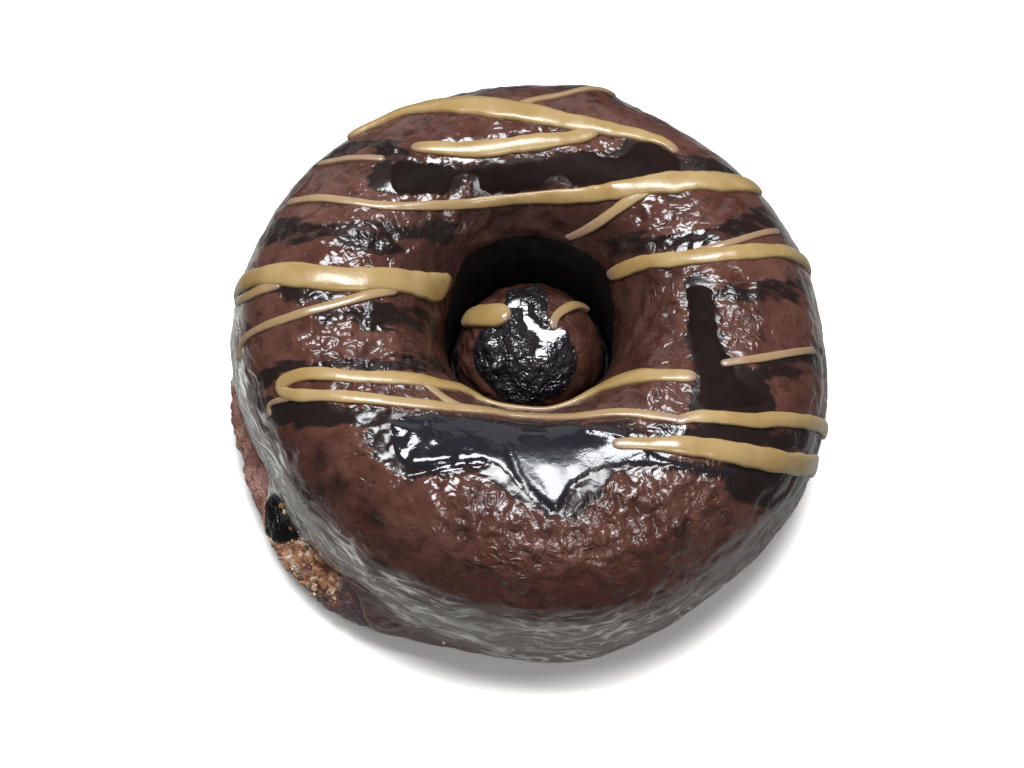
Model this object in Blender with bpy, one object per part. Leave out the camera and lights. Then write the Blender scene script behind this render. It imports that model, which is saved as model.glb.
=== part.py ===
"""A glazed ring doughnut, with a small glazed ball of dough sitting in its hole.

The ring, its coat of glaze and the ball are three solids. The thick pale
drizzle is fused to what it lies on. Units in the numbers below are
millimetres, and the model is in metres, +Z up, standing on z = 0 with the
origin under the middle of its outline.
"""

import bmesh
import bpy
import numpy as np

MM = 0.001

# Ring, measured over its glaze
BODY_RADIUS = 46.1
CREST_RADIUS = 29.0
HOLE_RADIUS = 12.8
RING_HEIGHT = 36.0
WIDEST_HEIGHT = 16.0
FLAT_DEPTH = 0.5
ROUNDNESS_TOP = 2.25
ROUNDNESS_FOOT = 3.2
ROUNDNESS_PER_FLARE = 0.5

# Middle of the outline seen from above, from the middle of the crest's circle
OUTLINE_MIDDLE = (-0.92, -0.97)

# Unevenness: (waves round the ring, size, where the wave peaks in degrees)
BODY_WAVES = ((1, 0.9, -62), (2, 1.0, -40), (3, 0.35, 40), (4, 0.3, -14), (7, 0.35, -25))
HOLE_WAVES = ((1, 0.6, 70), (2, 0.2, 92))
CREST_WAVES = ((2, 0.5, 100), (5, 0.3, 20))

# Foot that spreads past the body: (middle in degrees, spread in degrees, size)
FOOT_FLARES = ((219, 22, 4.8), (177, 12, 1.5), (278, 12, 0.8))
FLARE_TOP = 11.0
FLARE_FULL = 5.0

# Coat of glaze. Its lower edge is raised between two angles, where the crust
# shows below it, and one drip runs down over the crust
COAT_THICKNESS = 1.3
PIECE_GAP = 0.3
FACET_ROOM = 0.35
COAT_EDGE_HEIGHT = 1.8
HOLE_EDGE_HEIGHT = 3.0
BARE_CRUST = (181, 239)
BARE_CRUST_BLEND = 16.0
BARE_CRUST_HEIGHT = 11.2
DRIP_ANGLE = 212.5
DRIP_SPREAD = 4.5
DRIP_LENGTH = 6.0

# Thick blob of glaze on the back rim: (middle in degrees, spread in degrees, size)
RIM_BLOB = (75.5, 4, 1.5)

# Ball of dough in the hole
BALL_MIDDLE = (0.3, 0.65, 13.4)
BALL_RADIUS = 11.9
BALL_HALF_HEIGHT = 13.7

# Mesh steps: round the ring, and round its section over the top, down the
# outside and down the hole, each as steps to the coat's edge and steps below it
RING_STEPS = 72
TOP_STEPS = 10
OUTER_STEPS = (4, 4)
HOLE_STEPS = (3, 3)
BALL_STEPS = 24
BALL_RINGS = 14
SECTION_SAMPLES = 1441
ROUTE_SAMPLES = 40

# Strands of drizzle: rise above the skin and width at an end as shares of the
# width, depth of the root in the glaze, and mesh steps
STRAND_RISE = 0.26
STRAND_TOP = 0.9
STRAND_END_WIDTH = 0.35
STRAND_ROOT = 0.75
STRAND_SIDES = 6
STRAND_STEP = 3.6
STRAND_END_STEPS = 2.0

# Routes on the ring's skin, seen as if the skin were rolled out flat round the
# crest, each with its width at the start and at the end
RING_STRANDS = {
    "back_rim": ([(-30, 33.5), (-21, 36.5), (-11, 35), (-2.5, 32.5), (8, 30), (20, 28.5), (23.5, 26)],
                 3.2, 2.2),
    "back_rim_branch": ([(-3, 33), (2, 35.5), (8.5, 38), (14.5, 41)], 1.2, 1.2),
    "back_short": ([(-18, 25.8), (-8.5, 25), (-1, 25.7), (6.5, 27.2), (11, 29)], 2.8, 2.6),
    "back_upper_left": ([(-34, 27), (-27, 24.8), (-22, 23.8)], 1.1, 1.0),
    "back_long": ([(-38.5, 19.6), (-24, 15.6), (-11, 16.2), (7.5, 17.7), (24, 20), (31, 21.2), (39.5, 25)],
                  1.4, 3.8),
    "back_branch": ([(17, 17.8), (11, 14.3), (5, 11)], 1.8, 1.1),
    "left_thick": ([(-54, 9.5), (-46.5, 6.9), (-36.5, 4.2), (-28, 2.6), (-19, 3.8), (-7.5, 4.8)], 3.0, 3.9),
    "left_root": ([(-50.5, 6), (-45, 3.4), (-37, 2.6)], 1.3, 1.8),
    "left_lower": ([(-19, 2.4), (-28, -1.2), (-36, -3.2), (-45.5, -3.8), (-49, -6)], 1.5, 1.2),
    "right_thick": ([(9, 6.2), (16.5, 7), (23.5, 6.5), (33, 7.6), (46, 12), (54, 15)], 2.2, 2.5),
    "right_branch": ([(24, 7.1), (31.5, 9.4), (40, 14.2)], 0.9, 0.9),
    "loop": ([(24.5, -13.6), (19.5, -13.1), (13, -11.7), (8, -10.8), (3, -12.2), (-2.5, -11.8), (-7, -10.8),
              (-13, -12.7), (-23.5, -13.5), (-33, -12.7), (-37.9, -13.8), (-34.8, -15.9), (-23, -17.1),
              (-15.5, -17.8), (-8, -17.4), (-1, -17.2), (7, -19), (13.5, -19.4), (22, -20.7)], 2.1, 1.6),
    "loop_cross": ([(-13, -12.7), (-7.5, -13.2), (-2, -14), (3, -12.4)], 1.2, 1.1),
    "loop_tail": ([(-36, -16.1), (-41, -16.1), (-42, -18)], 1.0, 0.9),
    "right_front_upper": ([(21, -21), (24.5, -20), (32, -19.6), (37, -18.5), (49.5, -17), (57, -17)],
                          1.7, 2.6),
    "right_front_lower": ([(12, -24.7), (24, -24.6), (32, -24.8), (41, -24.6), (51, -23.7), (57, -24)],
                          2.4, 3.8),
    "right_middle": ([(28, -11.3), (34, -9.7), (44.5, -6)], 1.2, 1.3),
}

# Routes on the ball, rolled out flat round its top
BALL_STRANDS = {
    "ball_left": ([(-12.6, 5), (-7.6, 2.2), (-3.6, 0.8)], 3.4, 3.8),
    "ball_right": ([(11, 6.8), (7.7, 4.6), (4.7, 1.6), (3.7, -0.2), (3.7, -1.6)], 1.6, 1.3),
}

# Colours and roughness
CRUST_FINISH = ((0.24, 0.12, 0.07), 0.75)
GLAZE_FINISH = ((0.10, 0.05, 0.035), 0.25)
BALL_FINISH = ((0.08, 0.04, 0.03), 0.25)


def waves(angle, middle, parts):
    """Return middle + the sum of size * cos(count * (angle - peak)), a length that varies round the ring."""
    return middle + sum(size * np.cos(count * (angle - np.radians(peak))) for count, size, peak in parts)


def bump(angle, middle, spread):
    """Return exp(-turn^2 / (2 spread^2)), where turn is how many degrees the angle is from the middle."""
    turn = (np.degrees(angle) - middle + 180) % 360 - 180
    return np.exp(-0.5 * (turn / spread) ** 2)


def smooth_step(value):
    """Return 3v^2 - 2v^3 with v held between 0 and 1."""
    value = np.clip(value, 0, 1)
    return value * value * (3 - 2 * value)


def foot_flare(angle):
    """Return how far the foot spreads past the body, the sum of its three bulges."""
    return sum(size * bump(angle, middle, spread) for middle, spread, size in FOOT_FLARES)


def squared_off(across, up, roundness):
    """Return a point of the unit circle moved straight out or in to |across|^n + |up|^n = 1."""
    reach = (np.abs(across) ** roundness + np.abs(up) ** roundness) ** (-1 / roundness)
    return across * reach, up * reach


def ring_skin(angle, section_angle, lift):
    """Return points of the ring's skin, lifted outwards by lift, as an array of x, y, z.

    The section is a superellipse about (CREST_RADIUS, WIDEST_HEIGHT): with c and s the
    cosine and sine of the section angle and k = (|c|^n + |s|^n)^(-1/n), it has
    radius = crest + half width * c * k and height = middle + half height * s * k.
    Its half widths change round the ring, its foot spreads, and it is cut flat at z = 0.
    """
    crest = CREST_RADIUS
    outer = waves(angle, BODY_RADIUS, BODY_WAVES) + RIM_BLOB[2] * bump(angle, *RIM_BLOB[:2])
    hole = waves(angle, HOLE_RADIUS, HOLE_WAVES)
    top = waves(angle, RING_HEIGHT, CREST_WAVES)
    flare = foot_flare(angle)
    across = np.cos(section_angle)
    up = np.sin(section_angle)
    foot_roundness = ROUNDNESS_FOOT + ROUNDNESS_PER_FLARE * flare * (across > 0)
    across, up = squared_off(across, up, np.where(up > 0, ROUNDNESS_TOP, foot_roundness))
    height = WIDEST_HEIGHT + np.where(up > 0, top - WIDEST_HEIGHT + lift, WIDEST_HEIGHT + FLAT_DEPTH) * up
    spread = flare * smooth_step((FLARE_TOP - height) / (FLARE_TOP - FLARE_FULL))
    half_width = np.where(across > 0, outer - crest + spread, crest - hole) + lift
    radius = crest + half_width * across
    x = radius * np.cos(angle) - OUTLINE_MIDDLE[0]
    y = radius * np.sin(angle) - OUTLINE_MIDDLE[1]
    return np.stack([x, y, np.maximum(height, 0)], axis=-1)


def ball_skin(angle, drop_angle, lift):
    """Return points of the ball's skin: a spheroid, drop_angle down from its top, cut flat at z = 0."""
    radius = (BALL_RADIUS + lift) * np.sin(drop_angle)
    x = BALL_MIDDLE[0] + radius * np.cos(angle) - OUTLINE_MIDDLE[0]
    y = BALL_MIDDLE[1] + radius * np.sin(angle) - OUTLINE_MIDDLE[1]
    height = BALL_MIDDLE[2] + (BALL_HALF_HEIGHT + lift) * np.cos(drop_angle)
    return np.stack([x, y, np.maximum(height, 0)], axis=-1)


def crest_distances():
    """Return section angles, and how far outwards each lies from the crest along the mean section."""
    section_angle = np.radians(np.linspace(-90, 270, SECTION_SAMPLES))
    across = np.cos(section_angle)
    up = np.sin(section_angle)
    across, up = squared_off(across, up, np.where(up > 0, ROUNDNESS_TOP, ROUNDNESS_FOOT))
    run = across * np.where(across > 0, BODY_RADIUS - CREST_RADIUS, CREST_RADIUS - HOLE_RADIUS)
    rise = up * np.where(up > 0, RING_HEIGHT - WIDEST_HEIGHT, WIDEST_HEIGHT)
    length = np.concatenate([[0], np.cumsum(np.hypot(np.diff(run), np.diff(rise)))])
    return section_angle, np.interp(np.pi / 2, section_angle, length) - length


def on_ring(flat_x, flat_y, lift):
    """Return skin points for places on the rolled-out ring, where the crest is a circle of its own radius."""
    section_angle, distance = crest_distances()
    angle = np.arctan2(flat_y, flat_x)
    out = np.hypot(flat_x, flat_y) - CREST_RADIUS
    return ring_skin(angle, np.interp(-out, -distance, section_angle), lift)


def on_ball(flat_x, flat_y, lift):
    """Return skin points for places on the rolled-out ball, whose top is the middle."""
    angle = np.arctan2(flat_y, flat_x)
    return ball_skin(angle, np.hypot(flat_x, flat_y) / BALL_RADIUS, lift)


def coat_edge_height(angle):
    """Return the height of the glaze's lower edge on the outside: raised where crust shows, with one drip."""
    degrees = np.degrees(angle) % 360
    start, end = BARE_CRUST
    rises = smooth_step((degrees - start) / BARE_CRUST_BLEND + 0.5)
    falls = smooth_step((end - degrees) / BARE_CRUST_BLEND + 0.5)
    raised = (BARE_CRUST_HEIGHT - COAT_EDGE_HEIGHT) * rises * falls
    return COAT_EDGE_HEIGHT + raised - DRIP_LENGTH * bump(angle, DRIP_ANGLE, DRIP_SPREAD)


def section_angle_at(height, roundness):
    """Return how far below level the section angle is where the section passes a height."""
    down = (WIDEST_HEIGHT - height) / (WIDEST_HEIGHT + FLAT_DEPTH)
    return np.arctan2(down, (1 - down ** roundness) ** (1 / roundness))


def section_angle_of(step, angle):
    """Return the section angle of each mesh step, counted from 0 at the widest outside, over the top.

    Steps over the top are even. Below level, a step always lies on the coat's
    edge, so the facets of the dough and of the coat over it are parallel.
    """
    outer_roundness = ROUNDNESS_FOOT + ROUNDNESS_PER_FLARE * foot_flare(angle)
    outer_edge = section_angle_at(coat_edge_height(angle), outer_roundness)
    hole_edge = section_angle_at(HOLE_EDGE_HEIGHT, ROUNDNESS_FOOT)
    over_top = np.clip(step / TOP_STEPS, 0, 1) * np.pi
    down_outside = below_level(-step, OUTER_STEPS, outer_edge)
    down_hole = below_level(step - TOP_STEPS, HOLE_STEPS, hole_edge)
    return over_top - down_outside + down_hole


def below_level(steps_down, step_counts, edge):
    """Return angles below level: even to the coat's edge, then even to straight down."""
    to_edge, below_edge = step_counts
    below = np.maximum(steps_down - to_edge, 0) / below_edge
    return np.clip(steps_down / to_edge, 0, 1) * edge + below * (np.pi / 2 - edge)


def smooth_route(points, count):
    """Return count evenly spaced points along a Catmull-Rom curve through the given ones, and its length."""
    points = np.array(points, float)
    slopes = np.gradient(points, axis=0)
    place = np.linspace(0, len(points) - 1, ROUTE_SAMPLES * len(points))
    first = np.minimum(place.astype(int), len(points) - 2)
    t = (place - first)[:, None]
    start, end = points[first], points[first + 1]
    leave, arrive = slopes[first], slopes[first + 1]
    curve = ((2 * t**3 - 3 * t**2 + 1) * start + (t**3 - 2 * t**2 + t) * leave
             + (3 * t**2 - 2 * t**3) * end + (t**3 - t**2) * arrive)
    length = np.concatenate([[0], np.cumsum(np.linalg.norm(np.diff(curve, axis=0), axis=1))])
    even = np.linspace(0, length[-1], count)
    return np.stack([np.interp(even, length, curve[:, axis]) for axis in (0, 1)], axis=1), length[-1]


def coordinates(obj):
    """Return an object's vertex positions as an array."""
    flat = np.empty(len(obj.data.vertices) * 3)
    obj.data.vertices.foreach_get("co", flat)
    return flat.reshape(-1, 3)


def move_vertices(obj, points):
    """Put an object's vertices at points in millimetres, and make its bent quads triangles that face out."""
    obj.data.vertices.foreach_set("co", (points * MM).ravel())
    mesh = bmesh.new()
    mesh.from_mesh(obj.data)
    bmesh.ops.triangulate(mesh, faces=mesh.faces, quad_method="SHORT_EDGE")
    bmesh.ops.recalc_face_normals(mesh, faces=mesh.faces)
    mesh.to_mesh(obj.data)
    mesh.free()
    obj.data.shade_smooth()


def add_torus(name, collection, section_steps):
    """Add a torus, and return it with each vertex's angle round the ring and step round the section."""
    bpy.ops.mesh.primitive_torus_add(
        major_radius=1, minor_radius=0.5, major_segments=RING_STEPS, minor_segments=section_steps)
    obj = claim_object(name, collection)
    x, y, z = coordinates(obj).T
    share = np.arctan2(z, np.hypot(x, y) - 1) / (2 * np.pi) % 1
    return obj, np.arctan2(y, x), np.round(share * section_steps) % section_steps


def claim_object(name, collection):
    """Name the object just added and move it to a collection."""
    obj = bpy.context.object
    obj.name = name
    obj.data.name = name
    for owner in list(obj.users_collection):
        owner.objects.unlink(obj)
    collection.objects.link(obj)
    return obj


def add_dough_ring(collection):
    """Add the dough: a torus one coat and one gap under the skin, but at the skin below the coat's edge."""
    section_steps = TOP_STEPS + sum(OUTER_STEPS) + sum(HOLE_STEPS)
    obj, angle, step = add_torus("dough_ring", collection, section_steps)
    step = np.where(step > TOP_STEPS + sum(HOLE_STEPS), step - section_steps, step)
    lift = np.where(step < -OUTER_STEPS[0], 0, -COAT_THICKNESS - PIECE_GAP - FACET_ROOM)
    move_vertices(obj, ring_skin(angle, section_angle_of(step, angle), lift))
    return obj


def add_glaze_coat(collection):
    """Add the coat: a torus whose section runs out over the crest and back underneath it as a shell."""
    coat_steps = OUTER_STEPS[0] + TOP_STEPS + HOLE_STEPS[0] + 1
    obj, angle, step = add_torus("glaze_coat", collection, 2 * coat_steps)
    is_outer = step < coat_steps
    step = np.where(is_outer, step, 2 * coat_steps - 1 - step) - OUTER_STEPS[0]
    lift = np.where(is_outer, 0, -COAT_THICKNESS)
    move_vertices(obj, ring_skin(angle, section_angle_of(step, angle), lift))
    return obj


def add_centre_ball(collection):
    """Add the ball: a sphere primitive shaped to the spheroid and cut flat where it stands."""
    bpy.ops.mesh.primitive_uv_sphere_add(segments=BALL_STEPS, ring_count=BALL_RINGS, radius=1)
    obj = claim_object("centre_ball", collection)
    x, y, z = coordinates(obj).T
    move_vertices(obj, ball_skin(np.arctan2(y, x), np.arccos(np.clip(z, -1, 1)), 0))
    return obj


def add_strand(name, collection, route, start_width, end_width, place_on_skin):
    """Add one strand of drizzle: a rod laid along its route, domed above the skin and rooted below it."""
    length = smooth_route(route, 2)[1]
    stations = max(int(round(length / STRAND_STEP)), 3) + 1
    middle = smooth_route(route, stations)[0]
    mesh = bpy.data.meshes.new(name)
    rod = bmesh.new()
    bmesh.ops.create_cone(rod, cap_ends=True, segments=STRAND_SIDES, radius1=1, radius2=1, depth=1)
    long_edges = [edge for edge in rod.edges if abs(edge.verts[0].co.z - edge.verts[1].co.z) > 0.5]
    bmesh.ops.subdivide_edges(rod, edges=long_edges, cuts=stations - 2, use_grid_fill=True)
    rod.to_mesh(mesh)
    rod.free()
    obj = bpy.data.objects.new(name, mesh)
    collection.objects.link(obj)
    x, y, z = coordinates(obj).T
    station = np.round((z + 0.5) * (stations - 1)).astype(int)
    around = np.arctan2(y, x)
    share = station / (stations - 1)
    from_end = np.minimum(station, stations - 1 - station)
    taper = STRAND_END_WIDTH + (1 - STRAND_END_WIDTH) * smooth_step(from_end / STRAND_END_STEPS)
    width = (start_width + (end_width - start_width) * share) * taper
    forward = np.gradient(middle, axis=0)
    forward /= np.linalg.norm(forward, axis=1)[:, None]
    side_step = 0.5 * width * np.cos(around)
    flat_x = middle[station, 0] + side_step * forward[station, 1]
    flat_y = middle[station, 1] - side_step * forward[station, 0]
    dome = np.minimum(STRAND_RISE * width, STRAND_TOP)
    rise = np.where(np.sin(around) > 0, dome, STRAND_ROOT) * np.sin(around)
    move_vertices(obj, place_on_skin(flat_x, flat_y, rise))
    return obj


def fuse(base, strands, place_on_skin):
    """Join strands of drizzle to the piece that they lie on, with one union on their collection."""
    collection = bpy.data.collections.new(base.name + "_drizzle")
    bpy.context.scene.collection.children.link(collection)
    for name, (route, start_width, end_width) in strands.items():
        add_strand(name, collection, route, start_width, end_width, place_on_skin)
    union = base.modifiers.new("fused drizzle", "BOOLEAN")
    union.operation = "UNION"
    union.operand_type = "COLLECTION"
    union.collection = collection
    union.solver = "EXACT"
    bpy.context.view_layer.objects.active = base
    bpy.ops.object.modifier_apply(modifier=union.name)
    for strand in list(collection.objects):
        bpy.data.objects.remove(strand)
    bpy.data.collections.remove(collection)
    keep_largest_shell(base)


def keep_largest_shell(obj):
    """Drop loose scraps and sealed hollows left by a union, keeping the shell with the most faces."""
    mesh = bmesh.new()
    mesh.from_mesh(obj.data)
    unseen = set(mesh.faces)
    shells = []
    while unseen:
        shell = set()
        reached = [next(iter(unseen))]
        while reached:
            face = reached.pop()
            if face in shell:
                continue
            shell.add(face)
            reached.extend(other for edge in face.edges for other in edge.link_faces)
        unseen -= shell
        shells.append(shell)
    largest = max(shells, key=len)
    spare = [face for shell in shells if shell is not largest for face in shell]
    bmesh.ops.delete(mesh, geom=spare, context="FACES")
    mesh.to_mesh(obj.data)
    mesh.free()


def add_material(obj, name, finish):
    """Give an object a plain Principled material with a finish of colour and roughness."""
    color, roughness = finish
    material = bpy.data.materials.new(name)
    material.use_nodes = True
    shader = material.node_tree.nodes["Principled BSDF"]
    shader.inputs["Base Color"].default_value = (*color, 1)
    shader.inputs["Roughness"].default_value = roughness
    shader.inputs["Metallic"].default_value = 0
    obj.data.materials.clear()
    obj.data.materials.append(material)


def build():
    """Clear the scene and model the doughnut."""
    for obj in list(bpy.data.objects):
        bpy.data.objects.remove(obj)
    doughnut = bpy.data.collections.new("protein_doughnut")
    bpy.context.scene.collection.children.link(doughnut)
    dough = add_dough_ring(doughnut)
    coat = add_glaze_coat(doughnut)
    fuse(coat, RING_STRANDS, on_ring)
    ball = add_centre_ball(doughnut)
    fuse(ball, BALL_STRANDS, on_ball)
    add_material(dough, "baked_crust", CRUST_FINISH)
    add_material(coat, "brown_glaze", GLAZE_FINISH)
    add_material(ball, "ball_glaze", BALL_FINISH)


build()
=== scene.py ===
import itertools

import bpy
import numpy as np
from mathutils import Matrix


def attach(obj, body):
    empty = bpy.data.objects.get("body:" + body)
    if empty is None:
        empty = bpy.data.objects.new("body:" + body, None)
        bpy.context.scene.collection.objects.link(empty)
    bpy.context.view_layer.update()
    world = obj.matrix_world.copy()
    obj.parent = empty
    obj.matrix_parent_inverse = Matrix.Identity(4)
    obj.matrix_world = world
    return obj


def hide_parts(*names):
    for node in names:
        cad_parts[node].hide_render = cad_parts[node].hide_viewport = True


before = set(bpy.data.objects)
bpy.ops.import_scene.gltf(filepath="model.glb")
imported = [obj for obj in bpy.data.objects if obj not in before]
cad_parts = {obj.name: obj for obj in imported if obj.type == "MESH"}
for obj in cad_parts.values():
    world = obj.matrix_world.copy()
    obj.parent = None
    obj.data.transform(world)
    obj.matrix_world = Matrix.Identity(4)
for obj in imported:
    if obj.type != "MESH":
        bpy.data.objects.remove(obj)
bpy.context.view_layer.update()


# The ring of dough: a baked ring whose crust shows only at its foot and underside.
# It is crumbly, reddish brown to golden, with burnt specks. The form repeats the
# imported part's section, in millimetres.
MM = 0.001
BODY_RADIUS = 46.1
CREST_RADIUS = 29.0
HOLE_RADIUS = 12.8
RING_HEIGHT = 36.0
WIDEST_HEIGHT = 16.0
FLAT_DEPTH = 0.5
ROUNDNESS_TOP = 2.25
ROUNDNESS_FOOT = 3.2
ROUNDNESS_PER_FLARE = 0.5
OUTLINE_MIDDLE = (-0.92, -0.97)
BODY_WAVES = ((1, 0.9, -62), (2, 1.0, -40), (3, 0.35, 40), (4, 0.3, -14), (7, 0.35, -25))
HOLE_WAVES = ((1, 0.6, 70), (2, 0.2, 92))
CREST_WAVES = ((2, 0.5, 100), (5, 0.3, 20))
FOOT_FLARES = ((219, 22, 4.8), (177, 12, 1.5), (278, 12, 0.8))
FLARE_TOP = 11.0
FLARE_FULL = 5.0
RIM_BLOB = (75.5, 4, 1.5)
COAT_EDGE_HEIGHT = 1.8
HOLE_EDGE_HEIGHT = 3.0
BARE_CRUST = (181, 239)
BARE_CRUST_BLEND = 16.0
BARE_CRUST_HEIGHT = 11.2
DRIP_ANGLE = 212.5
DRIP_SPREAD = 4.5
DRIP_LENGTH = 6.0
UNDER_COAT = -1.95
CRUST_TURNS = 600
TORN_ANGLE = 224.0
TORN_SPREAD = 6.5
CRUMB_LOWEST = -0.95
CRUMB_HIGHEST = 0.5
CRUMB_DEPTH = -0.55
SMEARED_FROM = 231.5
SMEARED_TO = 250.0
SMEARED_LOW_FROM = 219.0
SMEARED_BELOW = 7.6
SMEARED_BLEND = 3.0
SMEARED_LOW_MOST = 0.75
CRUMB_SHADE_MOST = 0.75
STANDING_CRUMBS = 0.12
CRUST_RED = (0.25, 0.10, 0.076)
CRUST_PINK = (0.44, 0.23, 0.185)
CRUST_RUST = (0.22, 0.075, 0.04)
CRUST_GOLD = (0.46, 0.24, 0.12)
CRUST_CREAM = (0.78, 0.66, 0.54)
# Nearly black: the burnt specks, and the painted shade in the crumbs' recesses
CRUST_BURNT_AND_SHADE = (0.05, 0.018, 0.014)
CRUST_SMEAR = (0.085, 0.048, 0.052)

# Rows of the crust from underside to underside, in five belts: bare skin, the coat's edge outside, the
# covered part, the coat's edge in the hole, bare skin. The edges lie this far from the coat's, in radians
CRUST_ROWS = (34, 6, 26, 3, 12)
OUTER_EDGE_BELT = (-0.02, 0.12)
INNER_EDGE_BELT = (-0.1, 0.05)
OUTER_EDGE_BLEND = 0.07
INNER_EDGE_BLEND = 0.05

# Noise layers: size, cell in millimetres, seed. Those of the crumbs also have what torn crust adds
TORN_LAYER = (1.6, 9, 24)
CRUMB_LAYERS = ((0.5, 0, 4.5, 21), (0.3, 0.45, 1.7, 22), (0.2, 0.25, 0.9, 23))


def waves(angle, middle, parts):
    """Return middle + the sum of size * cos(count * (angle - peak))."""
    return middle + sum(size * np.cos(count * (angle - np.radians(peak))) for count, size, peak in parts)


def bump(angle, middle, spread):
    """Return exp(-turn^2 / (2 spread^2)), where turn is how many degrees the angle is from the middle."""
    turn = (np.degrees(angle) - middle + 180) % 360 - 180
    return np.exp(-0.5 * (turn / spread) ** 2)


def smooth_step(value):
    """Return 3v^2 - 2v^3 with v held between 0 and 1."""
    value = np.clip(value, 0, 1)
    return value * value * (3 - 2 * value)


def foot_flare(angle):
    """Return how far the foot spreads past the body, the sum of its bulges."""
    return sum(size * bump(angle, middle, spread) for middle, spread, size in FOOT_FLARES)


def squared_off(across, up, roundness):
    """Return a point of the unit circle moved straight out or in to |across|^n + |up|^n = 1."""
    reach = (np.abs(across) ** roundness + np.abs(up) ** roundness) ** (-1 / roundness)
    return across * reach, up * reach


def ring_skin(angle, section_angle, lift):
    """Return points of the ring's skin, lifted outwards by lift, in millimetres.

    The section is a superellipse about (CREST_RADIUS, WIDEST_HEIGHT): with c and s the
    cosine and sine of the section angle and k = (|c|^n + |s|^n)^(-1/n), it has
    radius = crest + half width * c * k and height = middle + half height * s * k.
    """
    outer = waves(angle, BODY_RADIUS, BODY_WAVES) + RIM_BLOB[2] * bump(angle, *RIM_BLOB[:2])
    hole = waves(angle, HOLE_RADIUS, HOLE_WAVES)
    top = waves(angle, RING_HEIGHT, CREST_WAVES)
    flare = foot_flare(angle)
    across = np.cos(section_angle)
    up = np.sin(section_angle)
    foot_roundness = ROUNDNESS_FOOT + ROUNDNESS_PER_FLARE * flare * (across > 0)
    across, up = squared_off(across, up, np.where(up > 0, ROUNDNESS_TOP, foot_roundness))
    height = WIDEST_HEIGHT + np.where(up > 0, top - WIDEST_HEIGHT + lift, WIDEST_HEIGHT + FLAT_DEPTH) * up
    spread = flare * smooth_step((FLARE_TOP - height) / (FLARE_TOP - FLARE_FULL))
    half_width = np.where(across > 0, outer - CREST_RADIUS + spread, CREST_RADIUS - hole) + lift
    radius = CREST_RADIUS + half_width * across
    x = radius * np.cos(angle) - OUTLINE_MIDDLE[0]
    y = radius * np.sin(angle) - OUTLINE_MIDDLE[1]
    return np.stack([x, y, np.maximum(height, 0)], axis=-1)


def section_angle_at(height, roundness):
    """Return how far below level the section angle is where the section passes a height."""
    down = (WIDEST_HEIGHT - height) / (WIDEST_HEIGHT + FLAT_DEPTH)
    return np.arctan2(down, (1 - down ** roundness) ** (1 / roundness))


def coat_edges(angle):
    """Return the section angles of the glaze's lower edge outside and in the hole, both below level.

    Outside, the edge is raised where crust shows, as a step with blended ends, less one bell-shaped drip.
    """
    degrees = np.degrees(angle) % 360
    rises = smooth_step((degrees - BARE_CRUST[0]) / BARE_CRUST_BLEND + 0.5)
    falls = smooth_step((BARE_CRUST[1] - degrees) / BARE_CRUST_BLEND + 0.5)
    raised = (BARE_CRUST_HEIGHT - COAT_EDGE_HEIGHT) * rises * falls
    height = COAT_EDGE_HEIGHT + raised - DRIP_LENGTH * bump(angle, DRIP_ANGLE, DRIP_SPREAD)
    outside = section_angle_at(height, ROUNDNESS_FOOT + ROUNDNESS_PER_FLARE * foot_flare(angle))
    return outside, section_angle_at(HOLE_EDGE_HEIGHT, ROUNDNESS_FOOT) + 0 * angle


def gradient_noise(points, cell, seed):
    """Return smooth noise from -1 to 1 with blobs about one cell wide.

    Each corner of a lattice of cells has a seeded random direction. The value is the sum over a
    cell's eight corners of direction . offset, weighted by 6t^5 - 15t^4 + 10t^3 along each axis.
    """
    maker = np.random.default_rng(seed)
    order = np.tile(maker.permutation(256), 2)
    directions = maker.normal(size=(256, 3))
    directions /= np.linalg.norm(directions, axis=1)[:, None]
    place = np.asarray(points, float) / cell
    corner = np.floor(place).astype(int)
    part = place - corner
    ease = part ** 3 * (part * (part * 6 - 15) + 10)
    total = np.zeros(place.shape[:-1])
    for step in itertools.product((0, 1), repeat=3):
        x, y, z = np.moveaxis((corner + step) & 255, -1, 0)
        slope = directions[order[order[order[x] + y] + z]]
        weight = np.prod(np.where(np.array(step) == 1, ease, 1 - ease), axis=-1)
        total += weight * ((part - step) * slope).sum(axis=-1)
    return 1.6 * total


def noise_layers(points, *layers):
    """Return the sum of size * gradient_noise(points, cell, seed) over layers of size, cell and seed."""
    return sum(size * gradient_noise(points, cell, seed) for size, cell, seed in layers)


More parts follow.
